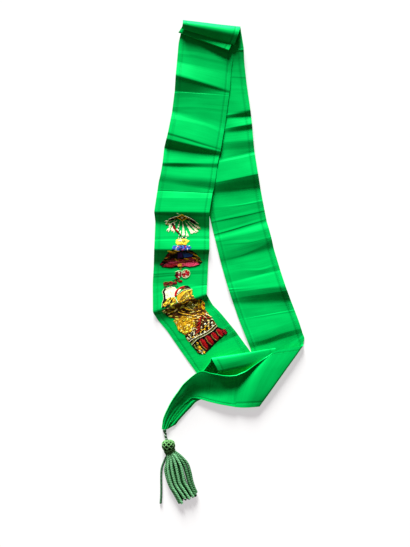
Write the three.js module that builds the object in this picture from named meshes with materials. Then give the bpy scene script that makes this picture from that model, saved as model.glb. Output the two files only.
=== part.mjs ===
// A green regalia sash laid flat: one long ribbon folded over itself, with an embroidered panel,
// and a tassel at the point where its two ends meet.
// Millimetres, +Z up, +Y towards the folded top of the sash, resting on Z = 0.

import * as THREE from "three";

// Cloth of the sash
const RIBBON_WIDTH = 100;
const CLOTH_THICKNESS = 1.5;
const ACROSS_STEPS = 6;
const FLOOR_SNAP = 0.3;

// Folds are rounded in steps, those that lay the ribbon back over itself in more, and a rounding
// takes no more than this share of the way to the next row
const CREASE_STEPS = 1;
const TURN_STEPS = 2;
const LONGEST_ROUNDING = 0.45;

// Where the middle of the whole sash lies in the table's own X and Y
const SASH_MIDDLE = { x: 1.5, y: 0.55 };

// Small gaps that keep neighbouring pieces apart
const GAP = 0.4;

// Embroidery
const MOTIF_THICKNESS = 0.8;
const LEAST_ROW_SPACING = 0.2;

// Tassel
const ROUND_SEGMENTS = 20;
const BINDING = { radius: 3.7, edge: 0.6, start: [-113.4, -305.9], end: [-113, -310.8] };
const NECK_CORD = { radius: 2.3, height: 5, end: [-110, -323.4] };
const STRANDS = { count: 20, points: 5, depth: 1.8, raggedness: 6 };

// Rows across the ribbon, one for each fold, crease and turn of its outline, in order from the
// tassel round the back leg, over the folded top and down the front leg to the tassel again.
// left and right are the ends of the row on the two selvedges, heights are those of the cloth's
// middle at four even stations from left to right, and round is how far the fold is rounded.
const RIBBON_ROWS = [
  { name: "panel_tip", left: [-110, -305], right: [-118, -305], heights: [5.2, 5.6, 5.6, 5.2], round: 3 },
  { name: "panel_gather_1", left: [-102, -290], right: [-116, -288], heights: [6, 7.5, 8, 6.6], round: 8 },
  { name: "panel_gather_2", left: [-93, -276], right: [-110, -272], heights: [6, 8.5, 9.5, 8], round: 8 },
  { name: "panel_gather_3", left: [-80, -261], right: [-100, -252], heights: [6, 8.5, 11.5, 10], round: 8 },
  { name: "panel_gather_4", left: [-71, -254], right: [-89, -236], heights: [6.5, 7.5, 12.5, 12], round: 8 },
  { name: "panel_gather_5", left: [-63, -248], right: [-76, -219], heights: [8, 6.8, 12.5, 14], round: 7 },
  { name: "panel_edge_1", left: [-49, -250], right: [-52, -199], heights: [9.5, 6.5, 11, 15], round: 7 },
  { name: "panel_edge_2", left: [-35, -255], right: [-16, -200], heights: [10, 6.5, 9.5, 16], round: 7 },
  { name: "panel_edge_3", left: [-9, -261], right: [15, -203], heights: [9.5, 6.5, 8.5, 16], round: 6 },
  { name: "panel_pleat", left: [15, -264], right: [38, -191], heights: [8, 6.5, 7, 13], round: 3 },
  { name: "panel_valley", left: [21, -265], right: [64, -174], heights: [7, 6.2, 6.6, 10.8], round: 5 },
  { name: "panel_slope", left: [36, -265], right: [89, -159], heights: [9, 12, 13, 10], round: 9 },
  { name: "turn_high", left: [59, -263], right: [138, -153], heights: [8, 9.5, 9.5, 8], round: 3.5 },
  { name: "turn_low", left: [59, -263], right: [139, -151], heights: [1.2, 1.2, 1.2, 1.2], round: 3 },
  { name: "back_foot", left: [53, -219], right: [141, -139], heights: [0.75, 0.75, 0.75, 0.75], round: 2 },
  { name: "back_crease", left: [44, -174], right: [136, -126], heights: [0.75, 0.75, 0.75, 0.75], round: 3 },
  { name: "back_swell_1", left: [22, -107], right: [127, -99], heights: [3.5, 4.5, 4.5, 3.5], round: 14 },
  { name: "back_valley_1", left: [11, -75], right: [117, -73], heights: [0.8, 0.8, 0.8, 0.8], round: 4 },
  { name: "back_slope_1", left: [5, -57], right: [108, -51], heights: [4.5, 5.5, 7, 8.5], round: 7 },
  { name: "back_ridge_1", left: [0, -42], right: [97, -17], heights: [7, 8, 9, 10], round: 3 },
  { name: "back_valley_2", left: [-11, -3], right: [84, 27], heights: [0.8, 1.2, 1.6, 1.6], round: 4 },
  { name: "back_ridge_2", left: [-20, 34], right: [79, 50], heights: [2.5, 4, 6, 8], round: 4 },
  { name: "back_flat", left: [-29, 68], right: [71, 77], heights: [0.8, 0.8, 0.8, 0.8], round: 10 },
  { name: "back_valley_3", left: [-37, 107], right: [62, 126], heights: [0.8, 0.8, 0.8, 0.8], round: 5 },
  { name: "back_ridge_3", left: [-42, 137], right: [56, 160], heights: [2, 6.5, 10, 11], round: 2.5 },
  { name: "back_valley_4", left: [-48, 177], right: [50, 200], heights: [0.8, 1, 1.4, 1.6], round: 3 },
  { name: "back_swell_2", left: [-52, 210], right: [48, 217], heights: [0.8, 1.2, 2.6, 3.4], round: 6 },
  { name: "back_valley_5", left: [-55, 228], right: [46, 244], heights: [0.8, 0.8, 1, 1], round: 2 },
  { name: "back_ridge_4", left: [-57, 241], right: [45, 254], heights: [0.8, 1.2, 3.4, 4.6], round: 2 },
  { name: "back_valley_6", left: [-59, 264], right: [43, 268], heights: [0.8, 0.8, 0.8, 0.8], round: 3 },
  { name: "back_ridge_5", left: [-61, 281], right: [42, 280], heights: [0.8, 1.2, 3, 4.6], round: 2 },
  { name: "back_flat_2", left: [-66, 323], right: [36, 319], heights: [0.8, 0.8, 0.8, 1], round: 8 },
  { name: "back_valley_7", left: [-68, 363], right: [31, 364], heights: [0.8, 0.8, 0.8, 0.8], round: 5 },
  { name: "back_ridge_6", left: [-71, 392], right: [30, 388], heights: [0.8, 0.8, 0.9, 4.4], round: 3 },
  { name: "top_low", left: [-80, 440], right: [24, 427], heights: [0.9, 0.9, 0.9, 0.9], round: 6.5 },
  { name: "top_high", left: [-80, 441], right: [24, 428], heights: [15, 15.5, 16, 16], round: 6.5 },
  { name: "roll_crest", left: [-80, 432], right: [21, 415], heights: [19, 20, 21, 21], round: 7 },
  { name: "roll_edge", left: [-82, 422], right: [13, 392], heights: [14.6, 14.8, 15.2, 15.8], round: 1.4 },
  { name: "roll_under", left: [-82, 422], right: [13, 392], heights: [11.1, 11.2, 11.6, 12.2], round: 1.2 },
  { name: "inner_high", left: [-76, 430], right: [17, 413], heights: [10.5, 10.5, 11, 11.8], round: 1.2 },
  { name: "inner_low", left: [-76, 430], right: [17, 413], heights: [8.1, 8.1, 8.6, 9.4], round: 1.2 },
  { name: "flap_edge", left: [-88, 416], right: [3, 382], heights: [8.1, 8.6, 9.4, 11], round: 1.3 },
  { name: "flap_under", left: [-88, 416], right: [3, 382], heights: [4.9, 5.5, 6.4, 8.1], round: 1.2 },
  { name: "neck_high", left: [-81, 427], right: [13, 402], heights: [5.7, 5.7, 6, 6.8], round: 1.2 },
  { name: "neck_low", left: [-81, 427], right: [13, 402], heights: [3.3, 3.3, 3.6, 4.4], round: 1.2 },
  { name: "front_shade", left: [-88, 397], right: [11, 374], heights: [3.2, 3.2, 3.6, 5.2], round: 8 },
  { name: "front_line_1", left: [-91, 361], right: [7, 339], heights: [3.4, 3.4, 3.6, 4.4], round: 5 },
  { name: "front_ridge_1", left: [-93, 338], right: [5, 310], heights: [12, 11, 8.5, 7], round: 2.5 },
  { name: "front_foot_1", left: [-95, 311], right: [3, 296], heights: [3.2, 3.4, 4.4, 5], round: 4 },
  { name: "front_valley_1", left: [-100, 276], right: [-4, 238], heights: [3.2, 3.4, 4.6, 5.4], round: 8 },
  { name: "front_shelf", left: [-107, 238], right: [-11, 205], heights: [8.5, 9, 9.5, 9], round: 3 },
  { name: "front_ridge_2", left: [-110, 222], right: [-12, 200], heights: [9, 9.4, 9.6, 8.6], round: 2 },
  { name: "front_foot_2", left: [-114, 203], right: [-14, 189], heights: [2.2, 2.6, 3.8, 5], round: 3 },
  { name: "front_line_2", left: [-118, 178], right: [-18, 175], heights: [1.4, 1.8, 3.6, 5.2], round: 2.5 },
  { name: "front_swell_1", left: [-121, 161], right: [-21, 158], heights: [3.6, 4, 6, 8.6], round: 7 },
  { name: "front_valley_2", left: [-126, 132], right: [-26, 128], heights: [0.9, 1.6, 4.2, 7.2], round: 4 },
  { name: "front_ridge_3", left: [-132, 90], right: [-32, 88], heights: [10, 10, 10, 10], round: 2 },
  { name: "front_foot_3", left: [-130, 61], right: [-32, 58], heights: [0.8, 0.8, 0.8, 0.8], round: 6 },
  { name: "front_ridge_4", left: [-132, 22], right: [-32, 21], heights: [8.5, 8.5, 8.5, 8.5], round: 2 },
  { name: "front_foot_4", left: [-133, -7], right: [-34, -9], heights: [0.8, 0.8, 0.8, 0.8], round: 6 },
  { name: "front_swell_2", left: [-135, -41], right: [-36, -41], heights: [1.5, 2, 2.2, 2], round: 8 },
  { name: "bend_ridge", left: [-138, -78], right: [-37, -61], heights: [4.5, 6, 7, 7.5], round: 4 },
  { name: "bend_foot", left: [-126, -102], right: [-28, -68], heights: [0.8, 1.2, 1.6, 3.2], round: 4 },
  { name: "front_low_1", left: [-109, -126], right: [-13, -88], heights: [0.8, 1.6, 2.6, 3], round: 8 },
  { name: "front_low_2", left: [-83, -164], right: [15, -126], heights: [0.8, 1.6, 2.2, 1.8], round: 8 },
  { name: "pleat_low", left: [-53, -206], right: [50, -174], heights: [0.9, 0.9, 1.4, 3.4], round: 1.2 },
  { name: "pleat_turned", left: [-53, -206], right: [50, -174], heights: [3.4, 3.4, 3.9, 5.9], round: 1.2 },
  { name: "pleat_inside", left: [-27, -178], right: [55, -166], heights: [11.6, 10.4, 8.4, 6.2], round: 3 },
  { name: "pleat_crest", left: [-27, -176], right: [56, -164], heights: [18, 17, 15, 12.4], round: 4 },
  { name: "pleat_slope", left: [-16, -200], right: [64, -181], heights: [12.2, 9.8, 7.2, 5.4], round: 5 },
  { name: "end_turn_1", left: [-24, -209], right: [58, -207], heights: [6, 4.6, 3.6, 3.3], round: 7 },
  { name: "end_turn_2", left: [-35, -217], right: [36, -236], heights: [3.3, 3.3, 3.3, 3.3], round: 7 },
  { name: "end_turn_3", left: [-51, -230], right: [-4, -248], heights: [3.3, 3.3, 3.3, 3.3], round: 7 },
  { name: "end_gather_1", left: [-69, -246], right: [-48, -251], heights: [3, 3, 3.2, 3], round: 6 },
  { name: "end_gather_2", left: [-87, -268], right: [-68, -268], heights: [2, 3.4, 3.6, 2], round: 6 },
  { name: "end_gather_3", left: [-101, -288], right: [-87, -288], heights: [1.6, 3.2, 3.2, 1.6], round: 6 },
  { name: "end_gather_4", left: [-110, -298], right: [-94, -297], heights: [1.8, 2.6, 2.8, 1.6], round: 2 },
  { name: "end_tip", left: [-117, -305], right: [-109, -304], heights: [2.2, 2.4, 2.4, 2.2], round: 3 },
];

// Rows of the folds that lay the ribbon back over itself
const TURN_ROWS = [
  "turn_high", "turn_low", "top_low", "top_high", "roll_edge", "roll_under", "inner_high", "inner_low",
  "flap_edge", "flap_under", "neck_high", "neck_low",
  "pleat_low", "pleat_turned", "pleat_inside", "pleat_crest",
];

// Rows whose line is bowed, with how far their middle lies from the straight line in Y
const BOWED_ROWS = { pleat_low: -11, pleat_turned: -11 };

// Outline of each embroidered motif: distance along the front leg from its upper end, and the
// reach to the left and to the right of the ribbon's middle line.
const MOTIF_START_ROW = "front_ridge_3";
const MOTIFS = [
  {
    name: "ray_fan",
    color: 0xd9d3b4,
    outline: [[3, -3, 3], [10, -14, 14], [17, -26, 26], [30, -29, 30], [38, -20, 20], [46, -3, 3]],
  },
  {
    name: "flower_bud",
    color: 0xe0c437,
    outline: [[48, -5, 5], [52, -10, 10], [56, -9, 9], [60, -4, 4]],
  },
  {
    name: "blue_collar",
    color: 0x4f7fc4,
    outline: [[61.5, -13, 13], [65, -16, 16], [69, -14, 14]],
  },
  {
    name: "palm_dome",
    color: 0x8c2444,
    outline: [[70.5, -18, 18], [78, -24, 24], [88, -30, 30], [96, -37, 37], [103, -31, 31]],
  },
  {
    name: "rosette",
    color: 0xc23a3c,
    outline: [[108, -2, 8], [111, -6, 15], [116, -7, 18], [121, -6, 15], [124, -2, 8]],
  },
  {
    name: "scroll",
    color: 0xe6dcc0,
    outline: [[128, -31, 4], [133, -32, -4], [145, -29, -4], [159, -31, -5], [163, -30, -9]],
  },
  {
    name: "gold_leaves",
    color: 0xd8a52a,
    outline: [[138, -2, 6], [144, -2.5, 20], [152, -3, 25], [160, -3, 24], [165, -2, 12]],
  },
  {
    name: "wheat_sheaf",
    color: 0xc9962b,
    outline: [[167, -22, 24], [174, -34, 31], [190, -35, 33], [202, -30, 30], [208, -26, 27]],
  },
  {
    name: "check_band",
    color: 0xcfae62,
    outline: [[209.5, -31, 32], [218, -35, 36], [228, -35, 36], [236, -33, 33]],
  },
  {
    name: "scallop_row",
    color: 0x9c1620,
    outline: [[237.5, -33, 33], [243, -32, 32], [256, -29, 31], [263, -22, 24]],
  },
];

// Tassel: the middle of each ring from the head's top to the strands' ends, the ring's half width
// and half height, the height of its middle, and how deep its flutes are as a share of a strand's
const TASSEL_ROWS = [
  { part: "head_top", x: -106.9, y: -324, halfWidth: 5.4, halfHeight: 4.3, middle: 9.8, flutes: 0 },
  { part: "head_shoulder", x: -106.8, y: -325.6, halfWidth: 9, halfHeight: 7.2, middle: 9.8, flutes: 0.1 },
  { part: "head_upper", x: -106.6, y: -328.6, halfWidth: 11.6, halfHeight: 9.3, middle: 9.8, flutes: 0.2 },
  { part: "head_widest", x: -106.4, y: -332.8, halfWidth: 12.3, halfHeight: 9.8, middle: 9.8, flutes: 0.2 },
  { part: "head_lower", x: -105.6, y: -337.6, halfWidth: 11.6, halfHeight: 9.2, middle: 9.4, flutes: 0.2 },
  { part: "head_foot", x: -104.4, y: -342, halfWidth: 10.2, halfHeight: 7.8, middle: 8.6, flutes: 0.2 },
  { part: "waist", x: -102.8, y: -346, halfWidth: 9.6, halfHeight: 6.6, middle: 7.6, flutes: 0.5 },
  { part: "skirt_top", x: -100.2, y: -351, halfWidth: 12, halfHeight: 6.9, middle: 7.2, flutes: 0.8 },
  { part: "skirt_flare", x: -95.8, y: -359.6, halfWidth: 16, halfHeight: 7.2, middle: 7.2, flutes: 1 },
  { part: "skirt_upper", x: -91.2, y: -372.2, halfWidth: 20.4, halfHeight: 7.2, middle: 7.2, flutes: 1 },
  { part: "skirt_widest", x: -87, y: -388.6, halfWidth: 22, halfHeight: 7, middle: 7, flutes: 1 },
  { part: "skirt_middle", x: -83, y: -403.1, halfWidth: 21.6, halfHeight: 6.6, middle: 6.6, flutes: 1 },
  { part: "skirt_lower", x: -78.4, y: -416, halfWidth: 20.8, halfHeight: 6.1, middle: 6.1, flutes: 1 },
  { part: "strand_ends", x: -72.2, y: -431, halfWidth: 20.8, halfHeight: 5.4, middle: 5.4, flutes: 1 },
];

const SASH_GREEN = 0x00c860;
const TASSEL_GREEN = 0x5a9c64;
const BINDING_GREEN = 0x14331c;
const SATIN_ROUGHNESS = 0.45;
const THREAD_ROUGHNESS = 0.6;
const CORD_ROUGHNESS = 0.75;

const fabric = (color, roughness) => new THREE.MeshStandardMaterial({ color, roughness, metalness: 0 });

const sash = new THREE.Group();
sash.position.set(-SASH_MIDDLE.x, -SASH_MIDDLE.y, 0);

function addPiece(name, geometry, material) {
  const mesh = new THREE.Mesh(geometry, material);
  mesh.name = name;
  sash.add(mesh);
}

// Cubic through four even stations
function stationHeight(heights, across) {
  const u = across * 3;
  const [a, b, c, d] = heights;
  return (
    (-a * (u - 1) * (u - 2) * (u - 3)) / 6 +
    (b * u * (u - 2) * (u - 3)) / 2 -
    (c * u * (u - 1) * (u - 3)) / 2 +
    (d * u * (u - 1) * (u - 2)) / 6
  );
}

// A row's line is straight, or a parabola where it has a bow
function rowPoint(row, across) {
  const bow = (BOWED_ROWS[row.name] ?? 0) * 4 * across * (1 - across);
  return new THREE.Vector3(
    THREE.MathUtils.lerp(row.left[0], row.right[0], across),
    THREE.MathUtils.lerp(row.left[1], row.right[1], across) + bow,
    stationHeight(row.heights, across)
  );
}

// One line of the ribbon's length at a given place across it, with each fold rounded
function ribbonLine(across) {
  const corners = RIBBON_ROWS.map((row) => rowPoint(row, across));
  const line = [corners[0]];
  for (let i = 1; i < corners.length - 1; i += 1) {
    const row = RIBBON_ROWS[i];
    const corner = corners[i];
    const before = corners[i - 1].clone().sub(corner);
    const after = corners[i + 1].clone().sub(corner);
    const start = corner.clone().addScaledVector(
      before.clone().normalize(),
      Math.min(row.round, before.length() * LONGEST_ROUNDING)
    );
    const end = corner.clone().addScaledVector(
      after.clone().normalize(),
      Math.min(row.round, after.length() * LONGEST_ROUNDING)
    );
    const arc = new THREE.QuadraticBezierCurve3(start, corner, end);
    line.push(...arc.getPoints(TURN_ROWS.includes(row.name) ? TURN_STEPS : CREASE_STEPS));
  }
  line.push(corners[corners.length - 1]);
  return line;
}

// The cloth's middle surface as sections of points, with the surface's front-facing normals
function ribbonSections() {
  const lines = [];
  for (let j = 0; j <= ACROSS_STEPS; j += 1) {
    lines.push(ribbonLine(j / ACROSS_STEPS));
  }
  const count = lines[0].length;
  const at = (i, j) => {
    const line = lines[THREE.MathUtils.clamp(j, 0, ACROSS_STEPS)];
    return line[THREE.MathUtils.clamp(i, 0, count - 1)];
  };
  const sections = [];
  for (let i = 0; i < count; i += 1) {
    const section = [];
    for (let j = 0; j <= ACROSS_STEPS; j += 1) {
      const alongWay = at(i + 1, j).clone().sub(at(i - 1, j));
      const acrossWay = at(i, j + 1).clone().sub(at(i, j - 1));
      section.push({ point: at(i, j), normal: alongWay.cross(acrossWay).normalize() });
    }
    sections.push(section);
  }
  return sections;
}

// A closed wall between two grids of points of the same size, front being the outer one
function wallBetween(front, back) {
  const rows = front.length;
  const columns = front[0].length;
  const positions = [];
  for (const grid of [front, back]) {
    for (const point of grid.flat()) {
      positions.push(point.x, point.y, point.z);
    }
  }
  const frontAt = (i, j) => i * columns + j;
  const backAt = (i, j) => rows * columns + i * columns + j;
  const index = [];
  const quad = (a, b, c, d) => index.push(a, b, c, a, c, d);
  for (let i = 0; i < rows - 1; i += 1) {
    for (let j = 0; j < columns - 1; j += 1) {
      quad(frontAt(i, j), frontAt(i + 1, j), frontAt(i + 1, j + 1), frontAt(i, j + 1));
      quad(backAt(i, j), backAt(i, j + 1), backAt(i + 1, j + 1), backAt(i + 1, j));
    }
    const last = columns - 1;
    quad(frontAt(i, 0), backAt(i, 0), backAt(i + 1, 0), frontAt(i + 1, 0));
    quad(frontAt(i, last), frontAt(i + 1, last), backAt(i + 1, last), backAt(i, last));
  }
  for (let j = 0; j < columns - 1; j += 1) {
    const last = rows - 1;
    quad(frontAt(0, j), frontAt(0, j + 1), backAt(0, j + 1), backAt(0, j));
    quad(frontAt(last, j), backAt(last, j), backAt(last, j + 1), frontAt(last, j + 1));
  }
  const geometry = new THREE.BufferGeometry();
  geometry.setAttribute("position", new THREE.Float32BufferAttribute(positions, 3));
  geometry.setIndex(index);
  return geometry;
}

// The grid of a surface moved out along its normals, with what nearly touches the floor set on it
function offsetGrid(sections, distance) {
  return sections.map((section) =>
    section.map(({ point, normal }) => {
      const moved = point.clone().addScaledVector(normal, distance);
      if (moved.z < FLOOR_SNAP) {
        moved.z = 0;
      }
      return moved;
    })
  );
}

function addSashRibbon(sections) {
  const half = CLOTH_THICKNESS / 2;
  const ribbon = wallBetween(offsetGrid(sections, half), offsetGrid(sections, -half));
  addPiece("sash_ribbon", ribbon, fabric(SASH_GREEN, SATIN_ROUGHNESS));
}

// The front leg's sections with their distance from the row where the embroidery starts
function embroideryGround(sections) {
  const startRow = RIBBON_ROWS.find((row) => row.name === MOTIF_START_ROW);
  const start = rowPoint(startRow, 0.5);
  const middle = ACROSS_STEPS / 2;
  const distances = sections.map((section) => section[middle].point.distanceTo(start));
  const first = distances.indexOf(Math.min(...distances));
  const ground = [];
  let travelled = 0;
  for (let i = first; i < sections.length; i += 1) {
    if (i > first) {
      travelled += sections[i][middle].point.distanceTo(sections[i - 1][middle].point);
    }
    ground.push({ along: travelled, section: sections[i] });
  }
  return ground;
}

// Point and normal on the front leg at a distance along it and a place across it from 0 to 1
function groundAt(ground, along, across) {
  let i = ground.findIndex((entry) => entry.along > along);
  i = THREE.MathUtils.clamp(i, 1, ground.length - 1);
  const share = (along - ground[i - 1].along) / (ground[i].along - ground[i - 1].along);
  const column = THREE.MathUtils.clamp(Math.floor(across * ACROSS_STEPS), 0, ACROSS_STEPS - 1);
  const offset = across * ACROSS_STEPS - column;
  const mix = (key) => {
    const near = ground[i - 1].section;
    const far = ground[i].section;
    const low = near[column][key].clone().lerp(near[column + 1][key], offset);
    const high = far[column][key].clone().lerp(far[column + 1][key], offset);
    return low.lerp(high, share);
  };
  return { point: mix("point"), normal: mix("normal").normalize() };
}

function outlineReach(outline, along) {
  const i = THREE.MathUtils.clamp(outline.findIndex(([place]) => place >= along), 1, outline.length - 1);
  const [startAlong, startLeft, startRight] = outline[i - 1];
  const [endAlong, endLeft, endRight] = outline[i];
  const share = (along - startAlong) / (endAlong - startAlong);
  return {
    left: THREE.MathUtils.lerp(startLeft, endLeft, share),
    right: THREE.MathUtils.lerp(startRight, endRight, share),
  };
}

// An embroidered motif: a thin pad that follows the cloth, with a row at each change of either
function addMotif({ name, color, outline }, ground) {
  const first = outline[0][0];
  const last = outline[outline.length - 1][0];
  const places = outline.map(([along]) => along);
  for (const { along } of ground) {
    if (along > first && along < last) {
      places.push(along);
    }
  }
  places.sort((a, b) => a - b);
  const spread = places.filter((along, i) => i === 0 || along - places[i - 1] > LEAST_ROW_SPACING);
  const rows = spread.map((along) => {
    const { left, right } = outlineReach(outline, along);
    const row = [];
    for (let j = 0; j <= ACROSS_STEPS; j += 1) {
      const reach = THREE.MathUtils.lerp(left, right, j / ACROSS_STEPS);
      row.push(groundAt(ground, along, 0.5 + reach / RIBBON_WIDTH));
    }
    return row;
  });
  const raised = (distance) =>
    rows.map((row) => row.map(({ point, normal }) => point.clone().addScaledVector(normal, distance)));
  const low = CLOTH_THICKNESS / 2 + GAP;
  const pad = wallBetween(raised(low + MOTIF_THICKNESS), raised(low));
  addPiece(name, pad, fabric(color, THREAD_ROUGHNESS));
}

// A round piece along a straight level axis, given its radii along the axis
function levelRound(profile, start, end, height) {
  const points = [new THREE.Vector2(0, profile[0].along)];
  for (const { along, radius } of profile) {
    points.push(new THREE.Vector2(radius, along));
  }
  points.push(new THREE.Vector2(0, profile[profile.length - 1].along));
  const geometry = new THREE.LatheGeometry(points, ROUND_SEGMENTS);
  const direction = new THREE.Vector3(end[0] - start[0], end[1] - start[1], 0).normalize();
  const turn = new THREE.Quaternion().setFromUnitVectors(new THREE.Vector3(0, 1, 0), direction);
  geometry.applyQuaternion(turn);
  geometry.translate(start[0], start[1], height);
  return geometry;
}

function planDistance(start, end) {
  return Math.hypot(end[0] - start[0], end[1] - start[1]);
}

function addTipBinding() {
  const length = planDistance(BINDING.start, BINDING.end);
  const profile = [
    { along: 0, radius: BINDING.radius - BINDING.edge },
    { along: BINDING.edge, radius: BINDING.radius },
    { along: length - BINDING.edge, radius: BINDING.radius },
    { along: length, radius: BINDING.radius - BINDING.edge },
  ];
  const binding = levelRound(profile, BINDING.start, BINDING.end, BINDING.radius);
  addPiece("tip_binding", binding, fabric(BINDING_GREEN, CORD_ROUGHNESS));
}

function addNeckCord() {
  const start = [BINDING.end[0], BINDING.end[1] - GAP];
  const length = planDistance(start, NECK_CORD.end);
  const profile = [
    { along: 0, radius: NECK_CORD.radius },
    { along: length, radius: NECK_CORD.radius },
  ];
  const cord = levelRound(profile, start, NECK_CORD.end, NECK_CORD.height);
  addPiece("neck_cord", cord, fabric(TASSEL_GREEN, CORD_ROUGHNESS));
}

// Shares from 0 to 1 that never repeat in step, for the lengths of the strands
const GOLDEN_SHARE = 0.618;

function strandShare(strand) {
  return (strand * GOLDEN_SHARE) % 1;
}

// Ring of the tassel: an ellipse fluted by its strands, flat where it meets the floor
function tasselRing(row, direction, ragged) {
  const side = new THREE.Vector3(direction.y, -direction.x, 0);
  const ring = [];
  const points = STRANDS.count * STRANDS.points;
  for (let k = 0; k < points; k += 1) {
    const angle = (k / points) * Math.PI * 2;
    const crown = Math.sin(((k / STRANDS.points) % 1) * Math.PI);
    const inset = STRANDS.depth * row.flutes * (1 - crown);
    const strand = Math.floor(k / STRANDS.points);
    const reach = ragged ? (strandShare(strand) - 0.5) * STRANDS.raggedness : 0;
    const point = new THREE.Vector3(row.x, row.y, row.middle)
      .addScaledVector(side, Math.cos(angle) * (row.halfWidth - inset))
      .addScaledVector(direction, reach);
    point.z = Math.max(0, point.z + Math.sin(angle) * (row.halfHeight - inset));
    ring.push(point);
  }
  return ring;
}

// Tassel: its knotted head and the fluted skirt of its strands, one body through all the rings
function addTassel() {
  const lastRow = TASSEL_ROWS.length - 1;
  const rings = TASSEL_ROWS.map((row, i) => {
    const before = TASSEL_ROWS[Math.max(0, i - 1)];
    const after = TASSEL_ROWS[Math.min(lastRow, i + 1)];
    const direction = new THREE.Vector3(after.x - before.x, after.y - before.y, 0).normalize();
    return tasselRing(row, direction, i === lastRow);
  });
  const count = rings[0].length;
  const positions = rings.flat().flatMap((point) => [point.x, point.y, point.z]);
  for (const { x, y, middle } of [TASSEL_ROWS[0], TASSEL_ROWS[lastRow]]) {
    positions.push(x, y, middle);
  }
  const topIndex = rings.length * count;
  const bottomIndex = topIndex + 1;
  const index = [];
  for (let k = 0; k < count; k += 1) {
    const next = (k + 1) % count;
    for (let i = 0; i < lastRow; i += 1) {
      const a = i * count + k;
      const b = i * count + next;
      const c = (i + 1) * count + next;
      const d = (i + 1) * count + k;
      index.push(a, c, b, a, d, c);
    }
    index.push(topIndex, k, next);
    index.push(bottomIndex, lastRow * count + next, lastRow * count + k);
  }
  const geometry = new THREE.BufferGeometry();
  geometry.setAttribute("position", new THREE.Float32BufferAttribute(positions, 3));
  geometry.setIndex(index);
  addPiece("tassel", geometry, fabric(TASSEL_GREEN, CORD_ROUGHNESS));
}

const sections = ribbonSections();
const ground = embroideryGround(sections);
addSashRibbon(sections);
for (const motif of MOTIFS) {
  addMotif(motif, ground);
}
addTipBinding();
addNeckCord();
addTassel();

export default sash;
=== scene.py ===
"""A green satin regalia sash laid flat: the folded ribbon with its hems, the embroidered panel,
the bound tip and the corded tassel, on a pale floor. Lengths in the tables are in millimetres."""

import bisect
import math
import random

import bpy
import numpy as np
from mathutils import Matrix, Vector, noise


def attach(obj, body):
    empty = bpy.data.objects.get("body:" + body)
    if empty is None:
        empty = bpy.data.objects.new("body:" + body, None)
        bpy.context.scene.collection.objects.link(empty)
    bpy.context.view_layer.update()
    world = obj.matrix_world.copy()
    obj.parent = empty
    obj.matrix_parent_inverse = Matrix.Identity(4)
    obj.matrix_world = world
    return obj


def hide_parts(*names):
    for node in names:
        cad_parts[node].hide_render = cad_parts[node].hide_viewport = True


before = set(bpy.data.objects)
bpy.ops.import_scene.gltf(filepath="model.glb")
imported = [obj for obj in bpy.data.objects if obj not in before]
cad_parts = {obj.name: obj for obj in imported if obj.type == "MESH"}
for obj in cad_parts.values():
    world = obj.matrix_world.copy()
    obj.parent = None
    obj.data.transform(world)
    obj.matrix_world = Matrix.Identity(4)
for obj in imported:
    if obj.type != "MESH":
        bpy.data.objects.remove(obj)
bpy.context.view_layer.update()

bl_info = {
    "name": "Regalia sash",
    "version": (1, 0, 0),
    "blender": (4, 5, 0),
    "location": "View3D > Sidebar > Sash",
    "description": "Builds the sash's ribbon, embroidery and tassel",
    "category": "Object",
}

MM = 0.001

# Where the middle of the whole sash lies in the tables' own X and Y
SASH_MIDDLE = (1.5, 0.55)

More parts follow.
